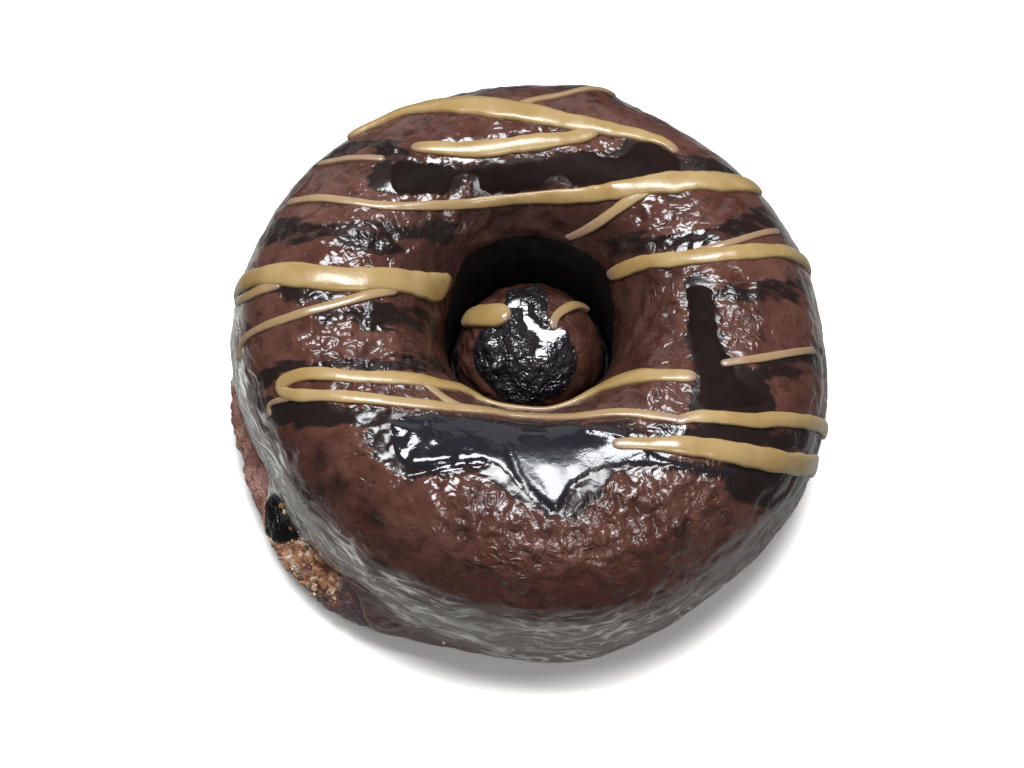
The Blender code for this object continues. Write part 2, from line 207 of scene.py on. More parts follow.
def put_piece(name, grids, material):
    """Make one mesh piece from grids of points in millimetres, and let it ride on the root.

    Each grid is (points, rows wrap, values): face (i, j) joins points (i, j), (i, j + 1),
    (i + 1, j + 1) and (i + 1, j), and its columns wrap round. Rows that don't wrap are closed
    at both ends with a fan to the middle of the end ring. A grid whose signed volume comes out
    negative has its faces turned round, so that all face outwards.
    """
    all_points, all_faces, all_values, count = [], [], {}, 0
    for points, rows_wrap, values in grids:
        rows, columns = points.shape[:2]
        flat = points.reshape(-1, 3)
        number = np.arange(rows * columns).reshape(rows, columns)
        low = number if rows_wrap else number[:-1]
        high = np.roll(number, -1, axis=0) if rows_wrap else number[1:]
        quads = np.stack([low, np.roll(low, -1, 1), np.roll(high, -1, 1), high], -1).reshape(-1, 4)
        a, b, c, d = (flat[quads[:, k]] for k in range(4))
        volume = (a * np.cross(b, c)).sum() + (a * np.cross(c, d)).sum()
        faces = quads.tolist()
        flat_values = {key: value.reshape(len(flat), -1) for key, value in values.items()}
        if not rows_wrap:
            for ring, turn in ((number[0], 1), (number[-1], -1)):
                pole = len(flat)
                fan = np.stack([ring, np.full(columns, pole), np.roll(ring, -1)][::turn], -1)
                faces += fan.tolist()
                flat = np.vstack([flat, flat[ring].mean(axis=0)])
                flat_values = {key: np.vstack([v, v[ring].mean(axis=0)]) for key, v in flat_values.items()}
        if volume < 0:
            faces = [face[::-1] for face in faces]
        all_faces += [[corner + count for corner in face] for face in faces]
        all_points.append(flat)
        for key, value in flat_values.items():
            all_values.setdefault(key, []).append(value)
        count += len(flat)
    mesh = bpy.data.meshes.new(name)
    mesh.from_pydata(np.vstack(all_points) * MM, [], all_faces)
    for key, value in all_values.items():
        value = np.vstack(value)
        kind, field = ("FLOAT", "value") if value.shape[1] == 1 else ("FLOAT_VECTOR", "vector")
        mesh.attributes.new(key, kind, "POINT").data.foreach_set(field, value.ravel())
    mesh.shade_smooth()
    mesh.materials.append(material)
    piece = bpy.data.objects.new(name, mesh)
    bpy.context.scene.collection.objects.link(piece)
    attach(piece, "root")
    return piece


def new_group(name, inputs, outputs):
    """Start a shader node group with named inputs and outputs, and return it with its two end nodes."""
    group = bpy.data.node_groups.new(name, "ShaderNodeTree")
    for label, kind, value in inputs:
        group.interface.new_socket(label, in_out="INPUT", socket_type=kind).default_value = value
    for label, kind in outputs:
        group.interface.new_socket(label, in_out="OUTPUT", socket_type=kind)
    return group, group.nodes.new("NodeGroupInput"), group.nodes.new("NodeGroupOutput")


def feed(tree, socket, value):
    """Link a socket to another one, or set it to a number or a colour."""
    if isinstance(value, bpy.types.NodeSocket):
        tree.links.new(value, socket)
    else:
        socket.default_value = (*value, 1) if isinstance(value, tuple) else value


def noise_node(tree, place, scale, detail, roughness=0.5, distortion=0.0):
    """Add a noise texture with scale, a number or a socket, in blobs a metre, and return its value."""
    node = tree.nodes.new("ShaderNodeTexNoise")
    node.inputs["Detail"].default_value = detail
    node.inputs["Roughness"].default_value = roughness
    node.inputs["Distortion"].default_value = distortion
    feed(tree, node.inputs["Scale"], scale)
    tree.links.new(place, node.inputs["Vector"])
    return node.outputs["Fac"]


def range_node(tree, value, low, high, to_low, to_high):
    """Add a smooth map from low..high to to_low..to_high, and return its result."""
    node = tree.nodes.new("ShaderNodeMapRange")
    node.interpolation_type = "SMOOTHSTEP"
    for socket, number in zip(("From Min", "From Max", "To Min", "To Max"), (low, high, to_low, to_high)):
        node.inputs[socket].default_value = number
    tree.links.new(value, node.inputs["Value"])
    return node.outputs["Result"]


def mix_node(tree, share, first, second):
    """Add a colour mix of two colours or sockets by a share, and return its result."""
    node = tree.nodes.new("ShaderNodeMix")
    node.data_type = "RGBA"
    tree.links.new(share, node.inputs["Factor"])
    feed(tree, node.inputs[6], first)
    feed(tree, node.inputs[7], second)
    return node.outputs[2]


def blend_node(tree, value, low, high, first, second, most=1.0):
    """Add a mix from the first colour to the second where a value goes from low to high."""
    return mix_node(tree, range_node(tree, value, low, high, 0.0, most), first, second)


def math_node(tree, kind, *values):
    """Add a math node on numbers or sockets, and return its result."""
    node = tree.nodes.new("ShaderNodeMath")
    node.operation = kind
    for socket, value in zip(node.inputs, values):
        feed(tree, socket, value)
    return node.outputs[0]


def value_of(tree, name, output="Fac"):
    """Read a point value of the piece, or with "Vector" a place kept in it, and return its socket."""
    node = tree.nodes.new("ShaderNodeAttribute")
    node.attribute_name = name
    return node.outputs[output]


def object_place(tree):
    """Return the socket with the object coordinates."""
    return tree.nodes.new("ShaderNodeTexCoord").outputs["Object"]


def new_material(name, specular=0.5):
    """Start a material, and return it with its tree and its Principled shader."""
    material = bpy.data.materials.new(name)
    material.use_nodes = True
    shader = material.node_tree.nodes["Principled BSDF"]
    shader.inputs["Specular IOR Level"].default_value = specular
    return material, material.node_tree, shader


def finish_material(tree, shader, colour, roughness, height, grain):
    """Link a colour, a roughness, and a height through a bump of so many millimetres."""
    node = tree.nodes.new("ShaderNodeBump")
    node.inputs["Distance"].default_value = grain * MM
    tree.links.new(height, node.inputs["Height"])
    tree.links.new(node.outputs["Normal"], shader.inputs["Normal"])
    tree.links.new(colour, shader.inputs["Base Color"])
    tree.links.new(roughness, shader.inputs["Roughness"])


def make_grain_group():
    """Return the group of fine relief: soft blobs, and curly ridges where a bent noise is middling."""
    group, start, end = new_group(
        "fine_grain", [("Blobs", "NodeSocketFloat", 900.0), ("Curls", "NodeSocketFloat", 600.0)],
        [("Height", "NodeSocketFloat"), ("Spread", "NodeSocketFloat")])
    place = object_place(group)
    coarse = noise_node(group, place, start.outputs["Blobs"], 1.2, 0.45, 0.5)
    bent = noise_node(group, place, start.outputs["Curls"], 0.0, 0.5, 1.6)
    from_middle = math_node(group, "ABSOLUTE", math_node(group, "SUBTRACT", bent, 0.5))
    ridges = range_node(group, from_middle, 0.0, 0.3, 0.3, 0.0)
    spread = noise_node(group, place, 160.0, 2.0)
    often = range_node(group, spread, 0.42, 0.6, 0.2, 1.0)
    fine = math_node(group, "MULTIPLY", ridges, often)
    group.links.new(math_node(group, "ADD", coarse, fine), end.inputs["Height"])
    group.links.new(spread, end.inputs["Spread"])
    return group


fine_grain = make_grain_group()


def grain_in(tree, blobs, curls):
    """Place the fine grain group in a material, and return its height and its spread."""
    node = tree.nodes.new("ShaderNodeGroup")
    node.node_tree = fine_grain
    node.inputs["Blobs"].default_value = blobs
    node.inputs["Curls"].default_value = curls
    return node.outputs["Height"], node.outputs["Spread"]


def make_crust_material():
    """Baked crust: dusky red, torn open to golden crumb in places, nearly black in burnt spots and, as
    painted shade, in the crumbs' recesses.
    """
    material, tree, shader = new_material("baked_crust")
    place = object_place(tree)
    patches = noise_node(tree, place, 260.0, 4.0, 0.6)
    specks = noise_node(tree, place, 900.0, 3.0, 0.6)
    torn = value_of(tree, "torn")
    red = blend_node(tree, patches, 0.42, 0.6, CRUST_RED, CRUST_PINK)
    gold = blend_node(tree, patches, 0.38, 0.56, CRUST_RUST, CRUST_GOLD)
    gold = blend_node(tree, specks, 0.52, 0.62, gold, CRUST_CREAM)
    colour = mix_node(tree, torn, red, gold)
    colour = blend_node(tree, specks, 0.42, 0.32, colour, CRUST_BURNT_AND_SHADE, 0.8)
    # Painted shade: the crumbs' recesses are mixed towards nearly black.
    colour = mix_node(tree, value_of(tree, "shade_and_blotches"), colour, CRUST_BURNT_AND_SHADE)
    smeared = value_of(tree, "smeared")
    colour = mix_node(tree, smeared, colour, CRUST_SMEAR)
    height, spread = grain_in(tree, 1500.0, 900.0)
    dull = range_node(tree, spread, 0.3, 0.7, 0.5, 0.85)
    dull = math_node(tree, "MULTIPLY_ADD", smeared, -0.3, dull)
    finish_material(tree, shader, colour, dull, height, 0.5)
    return material


def crust_grid():
    """Return the dough as a grid: section angles round the superellipse, dense at the foot.

    Its lift is the covered depth above the coat's edge and the skin below it, less crumbs made
    of three noises, whose size fades where the ring stands. Its crust is torn open where a slow
    noise is high and next to the drip, and smeared with glaze low down and past one angle.
    """
    angle = np.linspace(0, 2 * np.pi, CRUST_TURNS, endpoint=False)
    outside, in_hole = coat_edges(angle)
    ends = (-np.pi / 2, OUTER_EDGE_BELT[0] - outside, OUTER_EDGE_BELT[1] - outside,
            np.pi + in_hole + INNER_EDGE_BELT[0], np.pi + in_hole + INNER_EDGE_BELT[1], 1.5 * np.pi)
    belts = []
    for first, last, rows in zip(ends, ends[1:], CRUST_ROWS):
        share = np.linspace(0, 1, rows, endpoint=False)[:, None]
        belts.append((first + (last - first) * share) * np.ones(CRUST_TURNS))
    section = np.vstack(belts)
    turn = np.broadcast_to(angle, section.shape)
    covered = (smooth_step((section + outside) / OUTER_EDGE_BLEND)
               * smooth_step((np.pi + in_hole - section) / INNER_EDGE_BLEND))
    skin = ring_skin(turn, section, 0)
    torn = smooth_step(noise_layers(skin, TORN_LAYER) - 0.2) + bump(turn, TORN_ANGLE, TORN_SPREAD)
    torn = np.clip(torn, 0, 1)
    crumbs = sum((size + more * torn) * gradient_noise(skin, cell, seed)
                 for size, more, cell, seed in CRUMB_LAYERS)
    crumbs = np.clip(crumbs, CRUMB_LOWEST, CRUMB_HIGHEST) + CRUMB_DEPTH
    points = ring_skin(turn, section, np.where(covered > 0.5, UNDER_COAT, 0) + (1 - covered) * crumbs)
    points[..., 2] += np.where(skin[..., 2] < 0.01, STANDING_CRUMBS * (crumbs + 1.5), 0)
    degrees = np.degrees(turn)
    low_down = smooth_step((SMEARED_BELOW - skin[..., 2]) / 1.6)
    low_down *= smooth_step((degrees - SMEARED_LOW_FROM) / SMEARED_BLEND)
    past_edge = degrees - SMEARED_FROM + 6 * (crumbs + 0.6)
    smeared = np.maximum(SMEARED_LOW_MOST * low_down, smooth_step(past_edge / SMEARED_BLEND))
    # The shade value is painted shade, strongest in the crumbs' deepest recesses.
    return points, True, {
        "shade_and_blotches": np.clip(-1.3 * crumbs - 0.85, 0, CRUMB_SHADE_MOST), "torn": torn,
        "smeared": smeared * smooth_step((SMEARED_TO - degrees) / SMEARED_BLEND)}


crust = put_piece("dough_crust", [crust_grid()], make_crust_material())
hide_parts("dough_ring")


# Crumbs: bits torn out of the crust, lying on it where it is bare and stuck to the foot
# in front. Irregular lumps, cream where they come from the inside, rust red where baked.
CRUMB_ROWS = 10
CRUMB_COLUMNS = 14
CRUMB_SINK = -0.75
CRUMB_SEED = 81
CRUMB_SHAPE_LAYER = (0.5, 0.8, 82)
CRUMB_SIZES = (0.5, 1.15)
CRUMB_STRETCH = (0.65, 1.25)
CRUMB_LOWEST_POINT = 0.02

# Each patch: middle angle, spread in degrees, lowest and highest place, count, size, lowest and highest tint
CRUMB_PATCHES = (
    (222.5, 4.2, 5, 10, 80, 0.5, 0, 0.85), (228.5, 1.8, 7, 9.6, 9, 0.75, 0.3, 0.7),
    (280.5, 2.2, 6.4, 9, 22, 0.38, 0, 0.35), (254, 0.05, 7.4, 7.5, 1, 0.65, 1, 1))


def crumb_grids():
    """Return crumbs as grids: each a sphere whose radius is its size * (1 + noise of the direction)."""
    maker = np.random.default_rng(CRUMB_SEED)
    up = np.linspace(0.12, np.pi - 0.12, CRUMB_ROWS)[:, None] * np.ones(CRUMB_COLUMNS)
    around = np.linspace(0, 2 * np.pi, CRUMB_COLUMNS, endpoint=False) * np.ones((CRUMB_ROWS, 1))
    ball = np.stack([np.sin(up) * np.cos(around), np.sin(up) * np.sin(around), np.cos(up)], axis=-1)
    grids = []
    for middle, spread, low, high, count, size, first_tint, last_tint in CRUMB_PATCHES:
        for number in range(count):
            angle = np.radians(maker.normal(middle, spread))
            roundness = ROUNDNESS_FOOT + ROUNDNESS_PER_FLARE * foot_flare(angle)
            down = -section_angle_at(maker.uniform(low, high), roundness)
            place = ring_skin(np.array(angle), np.array(down), CRUMB_SINK)
            radius = size * maker.uniform(*CRUMB_SIZES)
            shape = ball * maker.uniform(*CRUMB_STRETCH, 3)
            lumpy = 1 + noise_layers(ball + 10 * number, CRUMB_SHAPE_LAYER)
            points = place + shape * (radius * lumpy)[..., None]
            points[..., 2] = np.maximum(points[..., 2], CRUMB_LOWEST_POINT)
            grids.append((points, False, {"tint": np.full(up.shape, maker.uniform(first_tint, last_tint))}))
    return grids


def make_crumb_material():
    """Crumbs: rust red, golden and cream, each its own tint, with fine pores."""
    material, tree, shader = new_material("crust_crumbs")
    specks = noise_node(tree, object_place(tree), 1400.0, 3.0, 0.6)
    from_middle = math_node(tree, "SUBTRACT", specks, 0.5)
    shade = math_node(tree, "MULTIPLY_ADD", from_middle, 1.2, value_of(tree, "tint"))
    colour = blend_node(tree, shade, 0.1, 0.5, CRUST_RUST, CRUST_GOLD)
    colour = blend_node(tree, shade, 0.5, 0.9, colour, CRUST_CREAM)
    height, spread = grain_in(tree, 1800.0, 1200.0)
    finish_material(tree, shader, colour, range_node(tree, spread, 0.3, 0.7, 0.6, 0.85), height, 0.25)
    return material


put_piece("crust_crumbs", crumb_grids(), make_crumb_material())


# The brown glaze: a thin coat of milk chocolate poured over the ring, set to a glossy
# skin that follows the lumps of the dough, with dimples, bubbles and folds, and with
# stretched wrinkles down its outer wall.
COAT_THICKNESS = 1.3
COAT_TURNS = 680
LIP_WIDTH = 0.7
GLAZE_BROWN = (0.075, 0.0265, 0.0183)
GLAZE_DEEP = (0.028, 0.0105, 0.0078)
GLAZE_PALE = (0.106, 0.0445, 0.032)
# Pale colour of the painted reflection on the wall and of the painted highlight along the lip
PAINTED_REFLECTION_PALE = (0.90, 0.90, 0.83)
NEARLY_BLACK = (0.002, 0.0015, 0.0014)
GLAZE_GRAIN = 0.4
THREAD_GRAIN = 0.3
ROUTE_SAMPLES = 60

# Rows of the coat, as shares of the way from the lower edge to the one in the hole: from, to, rows
COAT_ROWS = ((0, 0.03, 7), (0.03, 0.72, 107), (0.72, 1, 18))
COAT_BACK_ROWS = ((1, 0.28, 4), (0.28, 0, 10))

# Noise layers of the glaze: size, cell, seed
SWELL_LAYERS = ((0.24, 12, 1), (0.2, 5.2, 2))
SWELL_DEPTH = -0.36
PATCHY_LAYER = (1.5, 9, 3)
DIMPLE_LAYERS = ((0.36, 2.9, 4), (0.16, 1.5, 5))
LIVELY_LAYERS = ((0.55, 2.2, 10), (0.36, 1.2, 13))
WARP_LAYER = (1.6, 6, 6)
RAGGED_LAYERS = ((0.25, 1.8, 8), (0.15, 0.9, 9))
STAIN_LAYERS = ((0.9, 1.5, 11), (0.5, 0.6, 12))
STREAK_LAYER = (1.6, 1.3, 14)
RIDGE_LAYER = (3, 1, 7)
NET_HOLE_LAYER = (1, 0.8, 15)

# The cap that the glaze's lift stays under: low at the outline, higher up the ring, less at the rim's blob
CAP_LOW = -0.06
CAP_MORE = 0.55
CAP_RISES_FROM = 24.0
CAP_LESS = 0.12
CAP_SOFTNESS = 0.03

# Wrinkles on the wall: their size, how noise is drawn out round the ring and down it, and the belt that
# they lie in, from a distance out from the crest to another
WRINKLE_SIZE = 0.34
WRINKLE_ROUND = 5.6
WRINKLE_DOWN = 1.9
WRINKLES_FROM = 17.0
WRINKLES_TO = 40.0

# Below these heights the hole is painted nearly black, as shade. The first holds at the middle angle, at the
# back
BLACK_HEIGHT_BACK = 26.6
BLACK_HEIGHT_FRONT = 18.0
BLACK_MIDDLE = 84
HOLE_SIDE = -8

# Middle and spread, in degrees round the ring, of the dark drip, of the foot of the wall that has no
# painted reflection of threads, and of the gap in the painted highlight along the lip
DRIP_DARK = (213.3, 3.4)
BARE_FOOT = (245, 13)
BARE_LIP = (236, 8)
BARE_FOOT_HEIGHT = 9.5

# Bubbles and pits: place on the rolled-out ring, radius, height
GLAZE_SPOTS = (
    (-35.1, -25, 0.6, 0.4), (-26.7, -29.2, 0.7, 0.4), (-20, -31.3, 0.6, 0.35), (-13.4, -33.1, 0.6, 0.35),
    (-21.5, -27, 1.2, 0.4), (-29.5, -22.5, 0.8, 0.35), (-9.3, -33.6, 1.6, 0.4), (-4.6, -35.6, 1.5, 0.4),
    (-13.5, -33.5, 1.3, 0.3), (-23.6, -36.3, 1.3, -0.65), (-22, -36.6, 0.8, -0.4), (26, -41, 0.5, 0.35),
    (28.2, -42, 0.7, 0.3), (11.5, -43.5, 0.6, 0.35), (6, -50, 0.4, 0.3), (-36.5, -25.5, 0.5, 0.35),
    (-33, -20.5, 0.5, 0.3), (-44, -9, 0.6, 0.3), (-20.5, 26, 0.5, 0.3), (-28, 21, 0.5, 0.3),
    (39, 4.5, 0.5, 0.3))

# Dark blotches: place on the rolled-out ring, radius, strength
BLOTCHES = (
    (-28.4, -30.5, 2.2, 1), (-38.1, -31.9, 1.8, 1), (-32.8, -31.1, 1.6, 1), (-23.8, -36.6, 1, 1),
    (-9, -37.5, 1.2, 1), (22, -36.5, 1.6, 1), (-31.5, -26, 1.5, 1))

# Lively places, where the glaze set in curls: place on the rolled-out ring, radius, strength
CURLY_PLACES = (
    (8, -36, 5.5, 0.9), (14.5, -36, 6, 0.9), (20.5, -34, 5.5, 0.9), (25.5, -31, 4.5, 0.9),
    (-1, -38.8, 7, 0.9), (-9.5, -35.5, 6, 0.7), (-14.5, -22.6, 5, 0.5), (-54.8, -34.9, 6, 1),
    (-26.2, -6.5, 8, 0.9), (-22.2, 9.4, 7, 0.8), (-9, 14.7, 4, 0.8), (18, 12, 6, 0.6), (20, 0.3, 5.5, 0.9),
    (31.1, -3.9, 4.5, 0.9), (17, -15.5, 5, 0.9), (-18, -14.5, 9, 0.6), (9, 27.5, 6, 0.5), (-22, -24, 6, 0.5))

# Where the painted reflection, a net of pale threads on the wall, starts: degrees round the ring, distance
# out from the crest
NET_STARTS = (
    (0, 23), (60, 21), (120, 17), (160, 13.5), (200, 14.5), (235, 17.5), (255, 20), (287, 19.5), (295, 23),
    (310, 27), (322, 30), (345, 26), (360, 24))

# How far past its start the painted net still has dark holes of painted shade between its threads
NET_HOLES_END = 8.5

# The level place of the pool in front: discs of x, y and radius, a point of its plane and its slopes
LEVEL_PLACES = ((3.7, -28.2, 2.1), (7.2, -27.8, 1.3), (4.8, -30.4, 1.7), (4.8, -32, 1))
LEVEL_POINT = (4.6, -29.3, 35.75)
LEVEL_SLOPE = (0.037, 0.075)

# Folds in the skin: route on the rolled-out ring, half width, height
FOLDS = (
    ([(-18.5, -29.4), (-15, -28.9), (-12, -28), (-8, -27.3), (-5, -27.3)], 0.4, -0.4),
    ([(-17.6, -27.6), (-14, -27.2), (-9.6, -26.2)], 1, 0.26),
    ([(-17, -31.2), (-13, -30.2), (-10.5, -29.2)], 0.9, 0.26),
    ([(-23.5, -10.6), (-19, -9.6), (-15.5, -8.2)], 0.35, -0.4),
    ([(-22, -9.4), (-18, -8.4), (-14.5, -7)], 0.5, 0.25),
    ([(-3.4, -24), (-2.2, -26.8), (-0.8, -30.1), (1.6, -32.8), (3.6, -34.4)], 0.55, -0.35),
    ([(9.6, -28.9), (7.6, -29.9), (5.9, -30.8), (5.2, -32.3), (4.3, -34.1)], 0.4, -0.35),
    ([(-1.6, -22.5), (0.9, -22.7), (3.4, -22.9)], 0.7, 0.45),
    ([(7, -21.8), (9.6, -22.3), (12.2, -23), (14.8, -24)], 0.5, 0.38),
    ([(30, 1.6), (34, 2.4), (37.5, 3.4)], 0.45, 0.25),
    ([(13, 11.5), (17.5, 10.6), (22, 10.8)], 0.45, 0.25))

# Dark chocolate in the glaze: calm pools, most of them with a film of chocolate on top, and smears
# that only stain. Each is places along it: its two edges on the rolled-out ring, x, y, x, y
POOL_BLEED = 0.9
SMEAR_BLEED = 1.5
CALM_IN_POOLS = 0.85
DARK_DEEP = (0.010, 0.0062, 0.0055)
DARK_POOLS = {
    "back_stripe": [
        (-21.8, 23.4, -21.4, 18), (-19.6, 23.7, -19, 17.4), (-15, 22.7, -14.8, 17.6),
        (-12.2, 22.4, -11.9, 17.9), (-11, 22.1, -11.3, 20.3), (-9.2, 22.2, -9.1, 20.9),
        (-7.5, 22.3, -7.4, 20.4), (-6.7, 22.5, -6.5, 17.9), (-2.8, 22.8, -2.6, 17.6),
        (1.4, 23.5, 1.4, 18.2), (2.5, 23.6, 2.8, 20.1), (4.9, 24.3, 5.1, 20.4), (6.9, 24.8, 6.8, 19.1),
        (9.7, 25.2, 9.6, 19.2), (11.3, 24.2, 11.7, 19.5), (14.8, 24.6, 14.7, 19.6),
        (16.7, 27.3, 16.7, 19.9), (19.4, 28.2, 19.3, 20.3), (22.5, 25.8, 21.6, 20.8), (24.2, 24, 24, 21.6)],
    "right_flow": [
        (23.2, 2.6, 26.6, 2.3), (23.1, 0.9, 27.5, 0.4), (23.5, -1.4, 27.9, -2.2), (23.3, -4.7, 28, -5.4),
        (23.7, -7.9, 28.5, -8.4), (24, -10.7, 29.5, -10.4), (24.4, -13.2, 30.3, -12.5),
        (24.9, -15.3, 31.7, -14.1), (24.2, -16.9, 34.4, -15), (23.5, -19, 35.5, -16.2),
        (23.2, -20.2, 34.6, -18)],
    "front_pool": [
        (-20.4, -19.8, -20.2, -24.9), (-18.9, -19.5, -18.3, -28), (-16.7, -19.2, -16.5, -29),
        (-12.7, -19.1, -12.4, -29.4), (-8.4, -19, -8, -28.4), (-5.4, -18.9, -5.2, -28.1),
        (-3.2, -18.9, -3.2, -29.4), (-0.9, -19, -0.8, -32), (1.8, -19.4, 2.2, -34),
        (4.1, -19.9, 4.2, -34.8), (5.4, -20.3, 5.6, -32.8), (7.5, -20.8, 7.6, -30.2),
        (10.2, -21.5, 10.2, -28.9), (13.8, -22.8, 13.7, -28.3), (18.7, -25.6, 18.6, -28.3),
        (24.1, -26.8, 24.2, -28.5), (30.4, -26.4, 31, -28.9)],
    "front_strip": [
        (-42.5, -14.6, -42.2, -19.2), (-37.2, -16.6, -38, -20.2), (-30.8, -17.8, -31, -21.3),
        (-25.9, -18.5, -25.9, -21.3), (-20.1, -19.4, -20.1, -22.3)],
}
DARK_SMEARS = {
    "back_stripe_right": [
        (24.7, 25.1, 24.5, 21.7), (28.2, 26.3, 27.8, 22.1), (31.2, 26.2, 30.9, 23.3),
        (36.9, 27.3, 36.6, 25.2)],
    "back_edge_left": [
        (-36.6, 31.6, -34.8, 27.6), (-29.3, 29.8, -27.9, 26.5), (-24.6, 28.3, -24, 26.2),
        (-20.9, 27.2, -21.2, 24.3), (-19.6, 25.6, -20.5, 23.2)],
    "back_rim_left": [(-17, 46, -15.5, 40.5), (-9, 47.5, -8.6, 40), (-2, 48, -2, 40.5)],
    "back_rim_blob": [
        (5.5, 47.5, 6.2, 40.5), (10.5, 47, 10, 39.5), (16, 45.5, 14.6, 38.8), (20.5, 43, 18.6, 38.5)],
    "upper_left": [
        (-44.3, 18.9, -43, 13.9), (-36.4, 14, -36, 10.7), (-32.3, 12.7, -32, 9.8),
        (-26.8, 12.2, -26.4, 9.3), (-24.9, 12.2, -24.7, 7.3), (-20.8, 12, -20.8, 7.8),
        (-19, 12.1, -19.1, 9.9), (-14.6, 13.3, -14.5, 10.7), (-11.6, 13.4, -11.4, 10.1)],
    "left_under_thick": [
        (-41.9, 5.5, -41.6, 4), (-37.8, 3.6, -37.7, 2), (-34.5, 1.5, -34.5, -0.3),
        (-30.7, 0.5, -30.7, -1.1), (-27.2, 0.2, -27.2, -1)],
    "left_middle": [
        (-30.4, -2.4, -30.3, -3.7), (-27.2, -1.9, -26.9, -4.3), (-23.5, -1.4, -23.6, -4.4),
        (-19, -0.5, -18.7, -3.6), (-13, 0.5, -13.1, -1.7), (-8.9, 1, -9.2, -0.5)],
    "above_loop": [
        (-42.8, -11.1, -43.1, -12.8), (-38.4, -10.3, -38.6, -12.2), (-33.9, -10.7, -33.9, -12),
        (-27.4, -10.8, -27.3, -12.4), (-21.8, -10.1, -21.6, -12), (-17.2, -8.6, -17.3, -11),
        (-10.8, -5.9, -12.4, -9)],
    "front_right_upper": [
        (8.6, -20.6, 9.4, -23.6), (12.8, -21.1, 13.4, -24), (16.9, -21.7, 17.6, -23.6),
        (23, -21.5, 22.8, -23.2), (28.5, -21.1, 28.2, -23.2), (34.9, -20.6, 34.6, -22.9),
        (40.9, -19.9, 41.1, -22.8), (52.3, -18.8, 50.7, -22.2)],
    "right_lower_patch": [
        (28.6, -29.1, 29.4, -30), (31.8, -28.6, 33.2, -31.5), (35.8, -28.5, 38, -32.5),
        (46.1, -28.4, 48.5, -33.1)],
    "right_stripe": [
        (25.5, 0.4, 25.7, -1.3), (29.2, 1, 29.5, -1.3), (33, 1.7, 33.2, -0.6), (37.1, 2.9, 37.2, 0.7),
        (42.7, 5.2, 42.6, 3), (52.5, 11.3, 53.1, 9.1)],
    "right_edge": [
        (32.2, -11.7, 32.1, -12.6), (36.7, -9.8, 36.6, -11.9), (42.1, -7.4, 41.7, -10.4),
        (52.4, -2.5, 52.9, -6.6)],
    "upper_right": [
        (10.6, 10.2, 10.5, 8.8), (14.5, 11.1, 15.1, 8.9), (19.7, 10.3, 19.9, 8.2), (24.4, 10.9, 24.6, 8.5),
        (29, 11.7, 29.1, 9.2), (34.1, 14.5, 33.9, 11.3), (42.1, 21.4, 41.1, 15.6)],
    "edge_patch": [
        (30.4, -26.6, 31, -29.2), (33.8, -26.4, 36.1, -30.8), (38, -26.6, 42.4, -31.4),
        (43.8, -25.8, 53, -30)],
}


def rounded(value):
    """Return the quarter circle sqrt(1 - (1 - v)^2) with v held between 0 and 1."""
    return np.sqrt(1 - (1 - np.clip(value, 0, 1)) ** 2)


def smooth_route(points, spacing):
    """Return evenly spaced points along a smooth curve through rows of numbers, and its length.

    From row to row it is a cubic, whose slope at a row is half the step between the rows on either side.
    The length counts the first two numbers of a row, its place. Any others are carried along.
    """
    points = np.array(points, float)
    slopes = np.gradient(points, axis=0)
    place = np.linspace(0, len(points) - 1, ROUTE_SAMPLES * len(points))
    first = np.minimum(place.astype(int), len(points) - 2)
    t = (place - first)[:, None]
    curve = ((2 * t**3 - 3 * t**2 + 1) * points[first] + (t**3 - 2 * t**2 + t) * slopes[first]
             + (3 * t**2 - 2 * t**3) * points[first + 1] + (t**3 - t**2) * slopes[first + 1])
    length = np.concatenate([[0], np.cumsum(np.linalg.norm(np.diff(curve[:, :2], axis=0), axis=1))])
    even = np.linspace(0, length[-1], max(int(length[-1] / spacing), 3) + 1)
    return np.stack([np.interp(even, length, column) for column in curve.T], axis=1), length[-1]


def crest_distances():
    """Return section angles, and how far outwards each lies from the crest along the mean section."""
    section_angle = np.radians(np.linspace(-90, 270, 1441))
    across = np.cos(section_angle)
    up = np.sin(section_angle)
    across, up = squared_off(across, up, np.where(up > 0, ROUNDNESS_TOP, ROUNDNESS_FOOT))
    run = across * np.where(across > 0, BODY_RADIUS - CREST_RADIUS, CREST_RADIUS - HOLE_RADIUS)
    rise = up * np.where(up > 0, RING_HEIGHT - WIDEST_HEIGHT, WIDEST_HEIGHT)
    length = np.concatenate([[0], np.cumsum(np.hypot(np.diff(run), np.diff(rise)))])
    return section_angle, np.interp(np.pi / 2, section_angle, length) - length


SECTION_ANGLES, CREST_DISTANCES = crest_distances()


def section_of(out):
    """Return the section angle of a distance outwards from the crest."""
    return np.interp(-out, -CREST_DISTANCES, SECTION_ANGLES)


def rolled_out(section_angle, angle):
    """Return the place on the rolled-out ring, and the distance outwards from the crest."""
    out = np.interp(section_angle, SECTION_ANGLES, CREST_DISTANCES)
    return (CREST_RADIUS + out) * np.cos(angle), (CREST_RADIUS + out) * np.sin(angle), out


def near_route(flat_x, flat_y, route):
    """Return each place's distance from a route and from its two ends, along it."""
    line, length = smooth_route(route, 0.5)
    gap = np.hypot(flat_x[..., None] - line[:, 0], flat_y[..., None] - line[:, 1])
    share = gap.argmin(axis=-1) / (len(line) - 1)
    return gap.min(axis=-1), length * np.minimum(share, 1 - share)


def spots_at(flat_x, flat_y, spots):
    """Return the sum of height * exp(-(gap / radius)^2) over spots of x, y, radius and height."""
    return sum(height * np.exp(-((flat_x - x) ** 2 + (flat_y - y) ** 2) / radius ** 2)
               for x, y, radius, height in spots)


def glaze_swell(skin):
    """Return the slow unevenness of the glaze: two noises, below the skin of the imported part."""
    return noise_layers(skin, *SWELL_LAYERS) + SWELL_DEPTH


